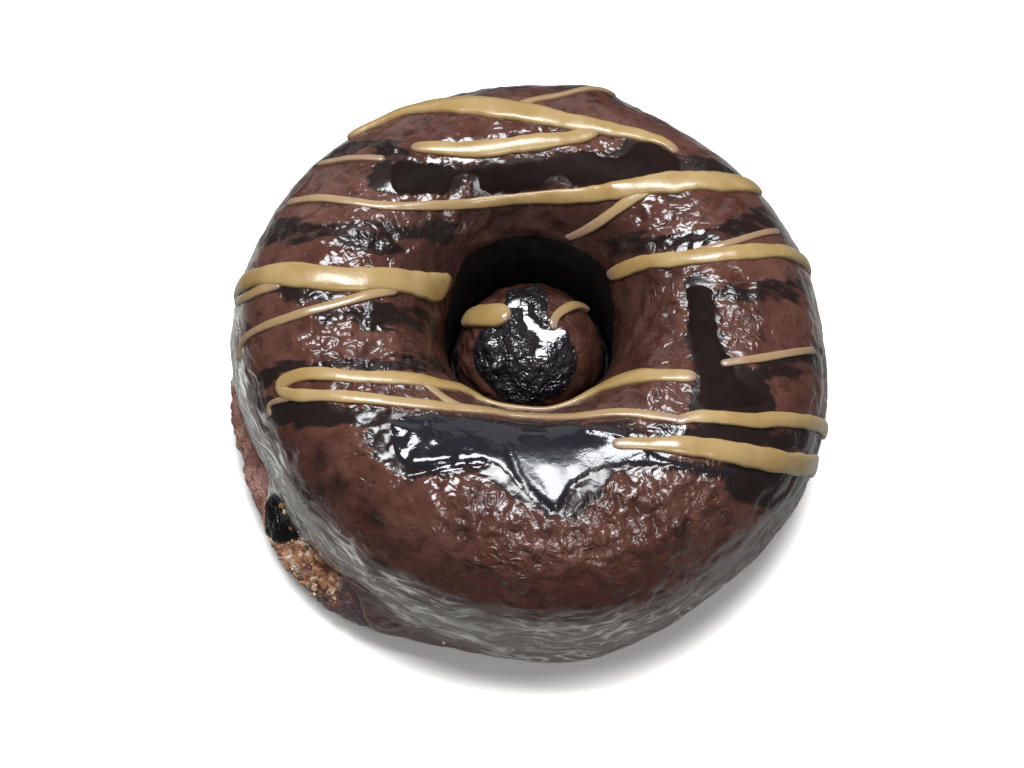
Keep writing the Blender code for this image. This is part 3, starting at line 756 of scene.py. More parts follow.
def level_share(skin, places):
    """Return how far points lie in a level place, 1 - the product of 1 - exp(-(gap / radius)^4)."""
    outside = 1
    for x, y, radius in places:
        outside = outside * (1 - np.exp(-(np.hypot(skin[..., 0] - x, skin[..., 1] - y) / radius) ** 4))
    return 1 - outside


def plane_height(skin, point, slopes):
    """Return the height over the skin's places of a plane through a point, with slopes along x and y."""
    return point[2] + slopes[0] * (skin[..., 0] - point[0]) + slopes[1] * (skin[..., 1] - point[1])


def settled(angle, skin, raised):
    """Return the lift of the glaze: its swell and relief, bent under a cap that is low at the outline.

    With t = cap - raised, the lift is cap - (t + sqrt(t^2 + softness)) / 2. In the level place of the
    pool it goes over to what brings the skin onto a plane.
    """
    cap = (CAP_LOW + CAP_MORE * smooth_step((skin[..., 2] - CAP_RISES_FROM) / 8)
           - CAP_LESS * bump(angle, RIM_BLOB[0], 2 * RIM_BLOB[1]))
    below = cap - raised
    bent = cap - 0.5 * (below + np.sqrt(below ** 2 + CAP_SOFTNESS))
    share = level_share(skin, LEVEL_PLACES)
    return (1 - share) * bent + share * (plane_height(skin, LEVEL_POINT, LEVEL_SLOPE) - skin[..., 2])


def along_wall(angle, out, skin):
    """Return places in a stretched space, where a noise makes long marks round the ring's wall."""
    down = (out + noise_layers(skin, WARP_LAYER)) / WRINKLE_DOWN
    return np.stack([WRINKLE_ROUND * np.cos(angle), WRINKLE_ROUND * np.sin(angle), down], axis=-1)


def band_stain(flat_x, flat_y, bands, bleed):
    """Return how strongly dark chocolate stains the glaze: 1 inside a band, 0 a bleed width outside it.

    A band's edge distance is the gap to its middle line less its half width there, raggedly
    shifted by noise that is drawn out along the strokes.
    """
    ragged = noise_layers(np.stack([flat_x / 3.2, flat_y, 0 * flat_x], axis=-1), *STAIN_LAYERS)
    nearest = np.full(flat_x.shape, bleed)
    for stations in bands.values():
        line = smooth_route(stations, 0.8)[0]
        middle, half = (line[:, :2] + line[:, 2:]) / 2, np.linalg.norm(line[:, 2:] - line[:, :2], axis=1) / 2
        gap = np.hypot(flat_x[..., None] - middle[:, 0], flat_y[..., None] - middle[:, 1]) - half
        nearest = np.minimum(nearest, gap.min(axis=-1))
    return smooth_step(0.75 - (nearest + bleed * ragged) / bleed)


def curly_share(flat_x, flat_y):
    """Return how lively the glaze is, from 0 to 1."""
    return np.clip(spots_at(flat_x, flat_y, CURLY_PLACES), 0, 1)


def glaze_relief(angle, section_angle, skin):
    """Return the quick unevenness of the glaze: dimples, stretched wrinkles on the wall, spots and folds.

    Dimples are noises that fade in and out, with more of them where the glaze is lively, and
    pools lie calm. A wrinkle is 1 - 3|n| of a noise n that is stretched round the ring. A fold
    adds height * exp(-(gap / half width)^2), fading at its ends.
    """
    flat_x, flat_y, out = rolled_out(section_angle, angle)
    patchy = 0.35 + 0.65 * smooth_step(0.5 + noise_layers(skin, PATCHY_LAYER))
    patchy *= 1 - 0.35 * smooth_step((out - 6) / 6)
    relief = patchy * noise_layers(skin, *DIMPLE_LAYERS)
    ridge = 1 - np.abs(noise_layers(along_wall(angle, out, skin), RIDGE_LAYER))
    on_wall = smooth_step((out - WRINKLES_FROM) / 7) * smooth_step((WRINKLES_TO - out) / 6)
    relief += WRINKLE_SIZE * on_wall * np.clip(ridge, -0.6, 1) * (0.5 + 0.5 * patchy)
    lively = curly_share(flat_x, flat_y)
    relief += lively * noise_layers(skin, *LIVELY_LAYERS)
    relief *= 1 - CALM_IN_POOLS * band_stain(flat_x, flat_y, DARK_POOLS, POOL_BLEED) * (1 - 0.75 * lively)
    relief += spots_at(flat_x, flat_y, GLAZE_SPOTS)
    for route, half_width, height in FOLDS:
        gap, from_end = near_route(flat_x, flat_y, route)
        relief += height * np.exp(-(gap / half_width) ** 2) * smooth_step(from_end / 1.5)
    return relief


def coat_grid():
    """Return the coat as a grid: its outer skin from edge to edge, then its inner side back.

    Rows are dense where the photo's side of the ring shows, and sparse in the hole. The outer lift is
    swell + relief, drawn in by a quarter circle at the lip, and the inner lift is minus the thickness.
    """
    angle = np.linspace(0, 2 * np.pi, COAT_TURNS, endpoint=False)
    outside, in_hole = coat_edges(angle)
    edge_out = np.interp(-outside, SECTION_ANGLES, CREST_DISTANCES)
    edge_in = np.interp(np.pi + in_hole, SECTION_ANGLES, CREST_DISTANCES)
    share, back = (np.concatenate([np.linspace(first, last, rows, endpoint=number == len(belts))
                                   for number, (first, last, rows) in enumerate(belts, 1)])[:, None]
                   for belts in (COAT_ROWS, COAT_BACK_ROWS))
    section = section_of(edge_out + (edge_in - edge_out) * share)
    turn = np.broadcast_to(angle, section.shape)
    skin = ring_skin(turn, section, 0)
    relief = glaze_relief(turn, section, skin)
    to_edge = np.abs(edge_in - edge_out) * np.minimum(share, 1 - share)
    lip = rounded(to_edge / LIP_WIDTH)
    lift = settled(turn, skin, glaze_swell(skin) + relief)
    outer = ring_skin(turn, section, lip * lift - (1 - lip) * 0.5 * COAT_THICKNESS)
    section_back = section_of(edge_out + (edge_in - edge_out) * back)
    inner = ring_skin(np.broadcast_to(angle, section_back.shape), section_back, -COAT_THICKNESS)
    above_edge = (edge_out - edge_in) * share
    values = coat_values(turn, section, skin, relief, above_edge, to_edge)
    return np.vstack([outer, inner]), True, {
        key: np.vstack([value, np.zeros(section_back.shape + value.shape[2:])])
        for key, value in values.items()}


def coat_values(turn, section, skin, relief, above_edge, to_edge):
    """Return the point values that the glaze's material reads, from 0 to about 1.

    They are how much painted shade and dark blotches it has, how black it is, as painted shade in the hole
    and as the dark drip, how dry, stained, calm and lively it is, how strong the painted reflection of
    threads on the wall and the painted highlight on the lip are, and the place that the net's noise is read
    at.
    """
    flat_x, flat_y, out = rolled_out(section, turn)
    from_back = np.abs((np.degrees(turn) - BLACK_MIDDLE + 180) % 360 - 180)
    lower = (BLACK_HEIGHT_BACK - BLACK_HEIGHT_FRONT) * smooth_step((from_back - 38) / 60)
    # Painted shade: the hole's walls below the black heights are nearly black.
    in_hole = smooth_step((BLACK_HEIGHT_BACK - lower - skin[..., 2]) / 1.4 + 0.5) * (out < HOLE_SIDE)
    on_drip = smooth_step(2 * bump(turn, *DRIP_DARK)) * smooth_step((BARE_CRUST_HEIGHT - skin[..., 2]) / 1.5)
    stroked = np.stack([flat_x / 5, flat_y, 0 * flat_x], axis=-1)
    streaky = 0.5 + 0.5 * smooth_step(0.8 + noise_layers(stroked, STREAK_LAYER))
    curly = curly_share(flat_x, flat_y)
    bare_foot = 1 - 0.85 * bump(turn, *BARE_FOOT) * smooth_step((BARE_FOOT_HEIGHT - above_edge) / 3)
    past_start = out - np.interp(np.degrees(turn), *zip(*NET_STARTS))
    along = along_wall(turn, out, skin)
    holes = smooth_step((noise_layers(along, NET_HOLE_LAYER) - 0.1) / 0.25)
    holes *= smooth_step(past_start + 0.5) * smooth_step((NET_HOLES_END - past_start) / 4)
    at_back = smooth_step(1.6 * np.sin(turn))
    reflection_share = bare_foot * (0.85 - 0.3 * np.cos(turn)) * (1 - 0.85 * holes) * (1 - 0.55 * at_back)
    # Painted shade: deeper brown where the relief is low, on the slopes down into the hole, more so at its
    # back, and in the net's holes. Dark blotches are added to it.
    low = 0.1 - relief * (1 - 0.65 * curly) + (0.45 + 0.25 * at_back) * smooth_step((-out - 4) / 9)
    pool = band_stain(flat_x, flat_y, DARK_POOLS, POOL_BLEED)
    return {
        "shade_and_blotches": np.clip(low + spots_at(flat_x, flat_y, BLOTCHES) + 0.8 * holes, 0, 1),
        "dark": np.clip(np.maximum(in_hole, on_drip) + 0.3 * noise_layers(skin, *RAGGED_LAYERS), 0, 1),
        "dry": np.maximum(in_hole, 0.4 * smooth_step((-out - 8) / 6)),
        "stain": np.maximum(streaky * band_stain(flat_x, flat_y, DARK_SMEARS, SMEAR_BLEED), pool),
        "pool": pool,
        "lively": 0.35 + 1.15 * curly,
        # Painted reflection: how strongly the pale threads show on the wall
        "wall": reflection_share * smooth_step(past_start / 6) * smooth_step(above_edge),
        # Painted highlight: a pale line along the lower edge
        "lip": smooth_step(1.3 - to_edge / 0.8) * (out > 0) * (1 - 0.85 * bump(turn, *BARE_LIP)),
        "along": along}


def painted_reflection_mask(tree):
    """Return a mask of painted reflection on the wall, a veil and pale threads in two layers, and of a
    painted highlight along the lip at the lower edge.
    """
    along = value_of(tree, "along", "Vector")
    layers = []
    for scale, width in ((0.75, 0.06), (1.5, 0.075)):
        bent = noise_node(tree, along, scale, 0.6, 0.5, 0.7)
        from_middle = math_node(tree, "ABSOLUTE", math_node(tree, "SUBTRACT", bent, 0.5))
        layers.append(range_node(tree, from_middle, 0.0, width, 1.0, 0.0))
    where = range_node(tree, noise_node(tree, object_place(tree), 110.0, 2.0), 0.38, 0.58, 0.15, 0.8)
    wall = value_of(tree, "wall")
    threads = math_node(tree, "MULTIPLY", math_node(tree, "MAXIMUM", *layers), where)
    lines = math_node(tree, "MAXIMUM", math_node(tree, "MULTIPLY", threads, wall), value_of(tree, "lip"))
    veil = math_node(tree, "MULTIPLY", wall, wall)
    return math_node(tree, "MULTIPLY_ADD", veil, 0.2, math_node(tree, "MULTIPLY", lines, 0.95))


def make_glaze_material(name, brown, deep, pale, specular=0.5):
    """Milk chocolate glaze: brown with paler and deeper drifts, dark where chocolate bled in, glossy.

    Painted shade mixes it towards deep brown, and nearly black in the hole. On the wall a painted reflection
    of pale threads runs where a stretched noise is middling, and the lower edge has a painted highlight along
    its lip.
    """
    material, tree, shader = new_material(name, specular)
    place = object_place(tree)
    drift = noise_node(tree, place, 90.0, 3.0, 0.55)
    mottle = noise_node(tree, place, 420.0, 3.0, 0.6)
    colour = blend_node(tree, drift, 0.4, 0.62, brown, pale)
    colour = blend_node(tree, mottle, 0.5, 0.68, colour, deep, 0.6)
    # Painted shade and dark blotches mix the glaze towards deep brown.
    colour = mix_node(tree, value_of(tree, "shade_and_blotches"), colour, deep)
    uneven = math_node(tree, "SUBTRACT", mottle, 0.5)
    shaken = math_node(tree, "MULTIPLY_ADD", uneven, 0.7, value_of(tree, "stain"))
    colour = blend_node(tree, shaken, 0.15, 0.85, colour, DARK_DEEP, 0.94)
    threads = painted_reflection_mask(tree)
    # Painted reflection and painted highlight: the pale threads, the veil and the lip
    colour = mix_node(tree, threads, colour, PAINTED_REFLECTION_PALE)
    # Nearly black where painted shade darkens the hole, and on the dark drip.
    colour = blend_node(tree, value_of(tree, "dark"), 0.3, 0.7, colour, NEARLY_BLACK)
    height, spread = grain_in(tree, 560.0, 480.0)
    lively = value_of(tree, "lively")
    gloss = range_node(tree, spread, 0.35, 0.65, 0.09, 0.19)
    gloss = math_node(tree, "MULTIPLY_ADD", lively, 0.1, gloss)
    gloss = math_node(tree, "MULTIPLY_ADD", value_of(tree, "dry"), 0.3, gloss)
    calm = math_node(tree, "MULTIPLY_ADD", value_of(tree, "pool"), -0.8, 1.0)
    fine = math_node(tree, "MULTIPLY", height, math_node(tree, "MULTIPLY", lively, calm))
    height = math_node(tree, "MULTIPLY_ADD", threads, THREAD_GRAIN, fine)
    finish_material(tree, shader, colour, gloss, height, GLAZE_GRAIN)
    return material


coat = put_piece("brown_glaze_coat", [coat_grid()],
                 make_glaze_material("brown_glaze", GLAZE_BROWN, GLAZE_DEEP, GLAZE_PALE))
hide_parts("glaze_coat")


# The dark chocolate: nearly black chocolate poured over the brown glaze before it set, as
# one thick pool in front and two stripes. A thin film with rounded, irregular edges.
DARK_HEIGHT = 0.24
DARK_SUNK = 0.09
DARK_SLOPE = 1.5
DARK_ROOT = -1.05
DARK_SPACING = 0.4
DARK_COLUMNS = 26
DARK_UNDER_COLUMNS = 5
DARK_EDGE_LAYERS = ((0.45, 2.4, 31), (0.35, 1.1, 32))
DARK_BROWNER = (0.015, 0.009, 0.0078)
DARK_THIN = (0.030, 0.013, 0.0095)
# The pool's colours lean to blue: a painted bluish reflection on nearly black chocolate
POOL_BLUISH = (0.0115, 0.0115, 0.0163)
POOL_BROWNER = (0.0125, 0.0113, 0.0155)
SOFT_MIDDLE = (4.1, -27.0)
SOFT_REACH = (6.0, 3.6)


def ring_place(flat):
    """Return the angle and section angle of places on the rolled-out ring, and the skin there."""
    angle = np.arctan2(flat[..., 1], flat[..., 0])
    section = section_of(np.hypot(flat[..., 0], flat[..., 1]) - CREST_RADIUS)
    return angle, section, ring_skin(angle, section, 0)


def band_places(stations, spacing, edge_layers, spill, columns):
    """Return a band of chocolate on a map: rows along it, columns over its top and back beneath.

    A place is middle + share * half width * growth, where share is minus the cosine of 0 to 180
    degrees, and growth is 1 + 2 * (noise of the edge + spill) / width, drawn in at the ends. Also
    returned: which columns are the top, and the distances to the side and to the nearer end.
    """
    line, length = smooth_route(stations, spacing)
    along = np.linspace(0, length, len(line))
    from_end = np.minimum(along, length - along)
    first, second = line[:, :2], line[:, 2:]
    middle, half = (first + second) / 2, (second - first) / 2
    width = 2 * np.linalg.norm(half, axis=1)
    edges = np.concatenate([np.stack([first, second]), np.zeros((2, len(line), 1))], axis=-1)
    grow = 1 + 2 * (noise_layers(edges, *edge_layers) + spill) / width
    grow *= rounded((from_end + 0.05) / (0.3 * width + 0.3))
    share = np.concatenate([-np.cos(np.linspace(0, np.pi, columns)),
                            np.linspace(1, -1, DARK_UNDER_COLUMNS + 2)[1:-1]])
    growth = np.where(share < 0, grow[0][:, None], grow[1][:, None])
    flat = middle[:, None] + half[:, None] * (share * growth)[..., None]
    to_side = (1 - np.abs(share)) * 0.5 * width[:, None] * growth
    return flat, np.arange(len(share)) < columns, to_side, from_end[:, None]


def band_grid(stations, softness, spill):
    """Return a band of chocolate on the ring as a grid.

    Its lift is the glaze's own + height * smooth step of the distances to side and end - sunk.
    """
    flat, is_top, to_side, from_end = band_places(
        stations, DARK_SPACING, DARK_EDGE_LAYERS, spill, DARK_COLUMNS)
    angle, section, skin = ring_place(flat)
    cover = smooth_step(to_side / DARK_SLOPE) * smooth_step((from_end + 0.1) / DARK_SLOPE)
    glaze = settled(angle, skin, glaze_swell(skin) + glaze_relief(angle, section, skin))
    lift = np.where(is_top, glaze + DARK_HEIGHT * cover - DARK_SUNK, DARK_ROOT)
    soft = np.exp(-((skin[..., 0] - SOFT_MIDDLE[0]) / SOFT_REACH[0]) ** 2
                  - ((skin[..., 1] - SOFT_MIDDLE[1]) / SOFT_REACH[1]) ** 2)
    level = level_share(skin, LEVEL_PLACES)
    return ring_skin(angle, section, lift), False, {
        "cover": np.where(is_top, cover, 0), "lively": 1 - 0.9 * level, "soft": softness * soft * (1 - level)}


def make_dark_material(name, deep, browner, specular, gloss_low, gloss_high, grain):
    """Dark chocolate: nearly black with browner drifts, brown where it is thin, duller in its soft places."""
    material, tree, shader = new_material(name, specular)
    drift = noise_node(tree, object_place(tree), 130.0, 3.0, 0.55)
    colour = blend_node(tree, drift, 0.35, 0.65, deep, browner)
    thin = range_node(tree, value_of(tree, "cover"), 0.3, 0.85, 1.0, 0.0)
    colour = mix_node(tree, thin, colour, DARK_THIN)
    height, spread = grain_in(tree, 800.0, 640.0)
    gloss = range_node(tree, spread, 0.35, 0.65, gloss_low, gloss_high)
    gloss = math_node(tree, "MULTIPLY_ADD", value_of(tree, "soft"), 0.22, gloss)
    height = math_node(tree, "MULTIPLY", height, value_of(tree, "lively"))
    finish_material(tree, shader, colour, gloss, height, grain)
    return material


put_piece("dark_chocolate_pool", [band_grid(DARK_POOLS["front_pool"], 1.0, 0.2)],
          make_dark_material("dark_chocolate", POOL_BLUISH, POOL_BROWNER, 0.5, 0.08, 0.16, 0.06))
put_piece("dark_chocolate_stripes",
          [band_grid(DARK_POOLS[name], 0.0, 0.5) for name in ("back_stripe", "right_flow")],
          make_dark_material("dark_chocolate_dry", DARK_DEEP, DARK_BROWNER, 0.015, 0.4, 0.5, 0.05))


# The nut drizzle: thick strands of pale tan nut butter flicked over the doughnut last,
# from side to side. Each lies as a rounded rope, and thin ones sink into the glaze.
STRAND_RISE = 0.22
STRAND_TOP = 0.70
STRAND_SEAT = 0.16
STRAND_SQUARENESS = 0.6
STRAND_ROOT = 0.9
STRAND_SPACING = 0.42
STRAND_SIDES = 18
STRAND_LAYERS = ((0.13, 4.0, 41), (0.07, 1.7, 42))
THIN_BELOW = 2.4
DRIZZLE_TAN = (0.305, 0.197, 0.069)
DRIZZLE_PALE = (0.365, 0.250, 0.108)
DRIZZLE_MUDDY = (0.25, 0.160, 0.115)
DRIZZLE_COAT = 0.2
DRIZZLE_COAT_ROUGHNESS = 0.12

# Routes on the rolled-out ring: x, y, width
RING_STRANDS = {
    "back_rim": [
        (-30, 33.5, 2.8), (-21, 36.5, 3.3), (-11, 35, 4.6), (-2.5, 32.5, 4.4), (8, 30, 3), (20, 28.5, 2.2),
        (23.5, 26, 1.5)],
    "back_rim_branch": [(-3, 33, 1.3), (2, 35.5, 1.4), (8.5, 38, 1.2), (14.5, 41, 0.9)],
    "back_short": [(-18, 25.8, 2), (-8.5, 25, 3), (-1, 25.7, 3), (6.5, 27.2, 2.7), (11, 29, 2)],
    "back_upper_left": [(-34, 27, 1.1), (-27, 24.8, 1.1), (-22, 23.8, 1)],
    "back_long": [
        (-38.5, 19.6, 1.3), (-24, 15.6, 1.4), (-11, 16.2, 1.6), (7.5, 17.7, 2.4), (24, 20, 3.8),
        (31, 21.2, 3.7), (39.5, 25, 3.1)],
    "back_branch": [(20, 19.4, 2), (16, 17.2, 1.8), (11, 14.3, 1.5), (7, 12.1, 1.2), (4.2, 10.5, 0.8)],
    "left_thick": [
        (-54, 9.5, 2.2), (-46.5, 6.9, 2.9), (-36.5, 4.2, 3.8), (-28, 2.6, 4), (-19, 3.8, 3.8),
        (-7.5, 4.8, 3.4)],
    "left_root": [(-50.5, 6, 1.3), (-45, 3.4, 1.5), (-37, 2.6, 1.8)],
    "left_lower": [(-19, 2.4, 1.6), (-28, -1.2, 1.5), (-36, -3.2, 1.4), (-45.5, -3.8, 1.2), (-49, -6, 1.1)],
    "right_thick": [
        (8.3, 5.8, 1.2), (11.5, 6.5, 2), (16.5, 7, 2.2), (23.5, 6.5, 2.4), (33, 7.6, 2.5), (46, 12, 2.4),
        (54, 15, 2.4)],
    "right_branch": [(24, 7.1, 1), (31.5, 9.4, 1.1), (40, 14.2, 1)],
    "loop": [
        (24.5, -13.6, 1.8), (19.5, -13.1, 2.3), (13, -11.7, 2.9), (8, -10.8, 2.3), (3, -12.2, 1.9),
        (-2.5, -11.8, 1.9), (-7, -10.8, 2.1), (-13, -12.7, 2.3), (-23.5, -13.5, 2.2), (-33, -12.7, 2.1),
        (-37.9, -13.8, 2.1), (-34.8, -15.9, 2), (-23, -17.1, 1.9), (-15.5, -17.8, 1.8), (-8, -17.4, 1.7),
        (-1, -17.2, 1.6), (7, -19, 1.5), (13.5, -19.4, 1.5), (22, -20.7, 1.4)],
    "loop_cross": [
        (-17, -13, 1.2), (-14.4, -13.8, 1.4), (-12.8, -15.2, 1.3), (-10.8, -16.6, 1.3), (-8, -17.3, 1)],
    "loop_tail": [(-36, -16.1, 1), (-41, -16.1, 0.9), (-42, -18, 0.9)],
    "right_front_upper": [
        (21, -21, 1.5), (24.5, -20, 1.9), (32, -19.6, 2.2), (37, -18.5, 2.3), (49.5, -17, 2.4),
        (57, -17, 2.4)],
    "right_front_lower": [
        (12, -24.7, 1.5), (17.5, -24.6, 2), (24, -24.6, 2.9), (32, -24.8, 3.4), (41, -24.6, 3.6),
        (51, -23.7, 3.8), (57, -24, 3.8)],
    "right_middle": [(28, -11.3, 1.1), (34, -9.7, 1.2), (44.5, -6, 1.1)],
}


def strand_grid(route, place, surface, swell, swell_share=1.0):
    """Return a strand of drizzle as a grid: rows along its route, columns round it.

    Across, it reaches half the width * cos(a). Up, it rises by width * rise * sin(a)^squareness, and
    its root goes straight down. Its width is shaken by noise and rounded off at the ends. It lies on
    the given surface, lifted by a share of its slow swell.
    """
    line, length = smooth_route(route, STRAND_SPACING)
    along = np.linspace(0, length, len(line))
    from_end = np.minimum(along, length - along)
    middle, width = line[:, :2], line[:, 2]
    shake = 1 + noise_layers(np.column_stack([middle, np.zeros(len(line))]), *STRAND_LAYERS)
    width = width * shake * rounded((from_end + 0.12) / (0.75 * width))
    forward = np.gradient(middle, axis=0)
    forward /= np.linalg.norm(forward, axis=1)[:, None]
    side = np.stack([forward[:, 1], -forward[:, 0]], axis=-1)
    around = np.linspace(0, 2 * np.pi, STRAND_SIDES, endpoint=False)
    flat = middle[:, None] + side[:, None] * (0.5 * width[:, None] * np.cos(around))[..., None]
    up = np.sin(around)
    dome = np.minimum(STRAND_RISE * width, STRAND_TOP)[:, None] * np.clip(up, 0, 1) ** STRAND_SQUARENESS
    first, second, skin = place(flat)
    base = swell_share * swell(skin) + np.where(up > -1e-9, STRAND_SEAT, 0)
    lift = base + np.where(up > 1e-9, dome, -STRAND_ROOT * rounded(-up * 2))
    thin = 0.7 * np.clip((THIN_BELOW - width) / 1.3, 0, 1) + 0.5 * (1 - smooth_step(from_end / 3))
    edge = 0.5 * np.clip(1 - 1.6 * np.clip(up, 0, 1), 0, 1)
    return surface(first, second, lift), False, {"thin": np.clip(thin[:, None] + edge, 0, 1)}


def make_drizzle_material():
    """Nut butter drizzle: pale tan, muddier where thin, at its edges and at its ends, satin."""
    material, tree, shader = new_material("nut_drizzle")
    shader.inputs["Coat Weight"].default_value = DRIZZLE_COAT
    shader.inputs["Coat Roughness"].default_value = DRIZZLE_COAT_ROUGHNESS
    drift = noise_node(tree, object_place(tree), 150.0, 3.0, 0.5)
    colour = blend_node(tree, drift, 0.35, 0.65, DRIZZLE_TAN, DRIZZLE_PALE)
    colour = blend_node(tree, value_of(tree, "thin"), 0.1, 1.0, colour, DRIZZLE_MUDDY, 0.85)
    height, spread = grain_in(tree, 500.0, 380.0)
    finish_material(tree, shader, colour, range_node(tree, spread, 0.35, 0.65, 0.24, 0.38), height, 0.05)
    return material


nut_drizzle = make_drizzle_material()
ring_strands = [strand_grid(route, ring_place, ring_skin, glaze_swell) for route in RING_STRANDS.values()]
ring_drizzle = put_piece("ring_nut_drizzle", ring_strands, nut_drizzle)
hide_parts("glaze_coat")


# The ball: a small ball of the same dough, glazed brown, with dark chocolate over its
# middle and front. It sits in the ring's hole, and two strokes of drizzle cross it.
BALL_MIDDLE = (0.3, 0.65, 13.4)
BALL_RADIUS = 11.9
BALL_HALF_HEIGHT = 13.7
BALL_TURNS = 260
BALL_RINGS = 170
BALL_POLE = 0.006
BALL_HIDDEN_FROM = 1.75
BALL_SWELL_LAYER = (0.3, 4.5, 51)
BALL_ROUGH_LAYERS = ((0.42, 2.6, 52), (0.22, 1.3, 53))
BALL_SWELL_DEPTH = -0.4
BALL_SMOOTH_FROM = 7.0
BALL_SHADE_FROM = 6.0
BALL_UNDER_DARK = 0.6
BALL_BAND_SPACING = 0.3
BALL_BAND_COLUMNS = 30
BALL_BAND_EDGE = 0.8
BALL_BAND_ROOT = -1.9
BALL_BAND_EDGE_LAYERS = ((0.6, 2.0, 61),)
BALL_BAND_LAYERS = ((0.16, 1.6, 62), (0.1, 0.9, 63))
BALL_BROWN = (0.060, 0.0235, 0.0165)
BALL_PALE = (0.072, 0.029, 0.021)
# The ball's dark colours lean to blue: a painted bluish reflection on nearly black chocolate
BALL_DARK = (0.0115, 0.0102, 0.0134)
BALL_DARK_BROWNER = (0.0128, 0.0109, 0.0139)

# Dark chocolate on the ball: its two edges on the map rolled out round its top, x, y, x, y
BALL_BANDS = {
    "over_top": [(-3.9, 8.6, 2.4, 8.8), (-4.2, 4, 3, 4), (-3.8, 0.5, 2.8, 0.2), (-4.2, -2, 3.2, -1.8)],
    "front": [
        (-10.8, -1.2, -10.4, -6.5), (-7, -0.4, -7, -11), (-2.5, -0.4, -2.2, -13.5), (2.5, -0.6, 2.4, -13.5),
        (5.5, -1.6, 5.8, -12), (8.2, -3.6, 8.6, -8.5)],
}

# The level place on top of the ball: discs of x, y and radius, a point of its plane and its slopes
BALL_LEVEL_PLACES = (
    (-1.1, 4.3, 1.2), (0.6, 3.6, 1.1), (0.6, 2, 1.2), (1.5, 0.5, 2), (3.6, -0.9, 2.1), (5.9, -0.2, 1.2),
    (2.7, -3.5, 1.5), (-4.6, -1.6, 0.9), (-3.6, -4.6, 0.7))
BALL_LEVEL_POINT = (2.6, -0.6, 26.0)
BALL_LEVEL_SLOPE = (0.028, 0.145)

# Routes on the rolled-out ball: x, y, width
BALL_STRANDS = {
    "ball_left": [(-12.9, 5.2, 3.9), (-7.6, 2.2, 4.2), (-3, 0.6, 4.2)],
    "ball_right": [(11.3, 7, 1.6), (7.7, 4.6, 1.6), (4.7, 1.6, 1.5), (3.7, -0.2, 1.3), (3.7, -1.6, 1.1)],
}


def ball_skin(angle, drop_angle, lift):
    """Return points of the ball's skin: a spheroid, drop_angle down from its top, cut flat at z = 0."""
    radius = (BALL_RADIUS + lift) * np.sin(drop_angle)
    x = BALL_MIDDLE[0] + radius * np.cos(angle) - OUTLINE_MIDDLE[0]
    y = BALL_MIDDLE[1] + radius * np.sin(angle) - OUTLINE_MIDDLE[1]
    height = BALL_MIDDLE[2] + (BALL_HALF_HEIGHT + lift) * np.cos(drop_angle)
    return np.stack([x, y, np.maximum(height, 0)], axis=-1)


def ball_swell(skin):
    """Return the lumps of the ball's glaze, below the skin: three noises, two stronger on the left."""
    rough = 0.35 + 0.65 * smooth_step((BALL_SMOOTH_FROM - skin[..., 0]) / 4)
    lumps = noise_layers(skin, BALL_SWELL_LAYER) + rough * noise_layers(skin, *BALL_ROUGH_LAYERS)
    return lumps + BALL_SWELL_DEPTH


def ball_place(flat):
    """Return the angle and drop angle of places on the rolled-out ball, and the skin there."""
    angle = np.arctan2(flat[..., 1], flat[..., 0])
    drop = np.hypot(flat[..., 0], flat[..., 1]) / BALL_RADIUS
    return angle, drop, ball_skin(angle, drop, 0)


def ball_level(angle, drop, skin):
    """Return how far places lie in the ball's level place, and the lift that brings its skin onto the plane.

    The lift is (plane - height) / (cos(drop) - sin(drop) * (slope along the angle)).
    """
    slope = BALL_LEVEL_SLOPE[0] * np.cos(angle) + BALL_LEVEL_SLOPE[1] * np.sin(angle)
    rise = np.maximum(np.cos(drop) - np.sin(drop) * slope, 0.5)
    gap = plane_height(skin, BALL_LEVEL_POINT, BALL_LEVEL_SLOPE) - skin[..., 2]
    return level_share(skin, BALL_LEVEL_PLACES) * (drop < 1), gap / rise


def ball_grid():
    """Return the ball as a grid from its top down to its foot, lifted by its lumps."""
    drop = np.linspace(BALL_POLE, np.pi - BALL_POLE, BALL_RINGS)[:, None] * np.ones(BALL_TURNS)
    angle = np.linspace(0, 2 * np.pi, BALL_TURNS, endpoint=False) * np.ones((BALL_RINGS, 1))
    skin = ball_skin(angle, drop, 0)
    lumps = ball_swell(skin)
    calm, level = ball_level(angle, drop, skin)
    lift = (1 - calm) * np.minimum(lumps, -0.05) + calm * (level - BALL_UNDER_DARK)
    # Painted shade: the lumps' low places and the back of the ball go towards deep brown, and its lower part,
    # hidden in the hole, is painted nearly black.
    hidden = smooth_step((drop - BALL_HIDDEN_FROM) / 0.25)
    behind = smooth_step((skin[..., 1] - BALL_SHADE_FROM) / 3.5)
    return ball_skin(angle, drop, lift), False, {
        "shade_and_blotches": np.clip(-lumps - 0.3 + 0.8 * behind, 0, 1),
        "lively": 0.45 * (1 - hidden), "dark": hidden, "dry": hidden}


def ball_band_grid(stations):
    """Return a band of chocolate on the ball, as band_grid does on the ring, with sharper lumps."""
    flat, is_top, to_side, from_end = band_places(
        stations, BALL_BAND_SPACING, BALL_BAND_EDGE_LAYERS, 0, BALL_BAND_COLUMNS)
    angle, drop, skin = ball_place(flat)
    cover = rounded(to_side / BALL_BAND_EDGE) * rounded((from_end + 0.1) / BALL_BAND_EDGE)
    lumps = ball_swell(skin) + noise_layers(skin, *BALL_BAND_LAYERS) + 0.5 * cover - 0.15
    calm, level = ball_level(angle, drop, skin)
    lift = np.where(is_top, (1 - calm) * np.minimum(lumps, 0.1) + calm * level, BALL_BAND_ROOT)
    return ball_skin(angle, drop, lift), False, {
        "cover": np.where(is_top, cover, 0), "lively": 1 - 0.96 * calm}


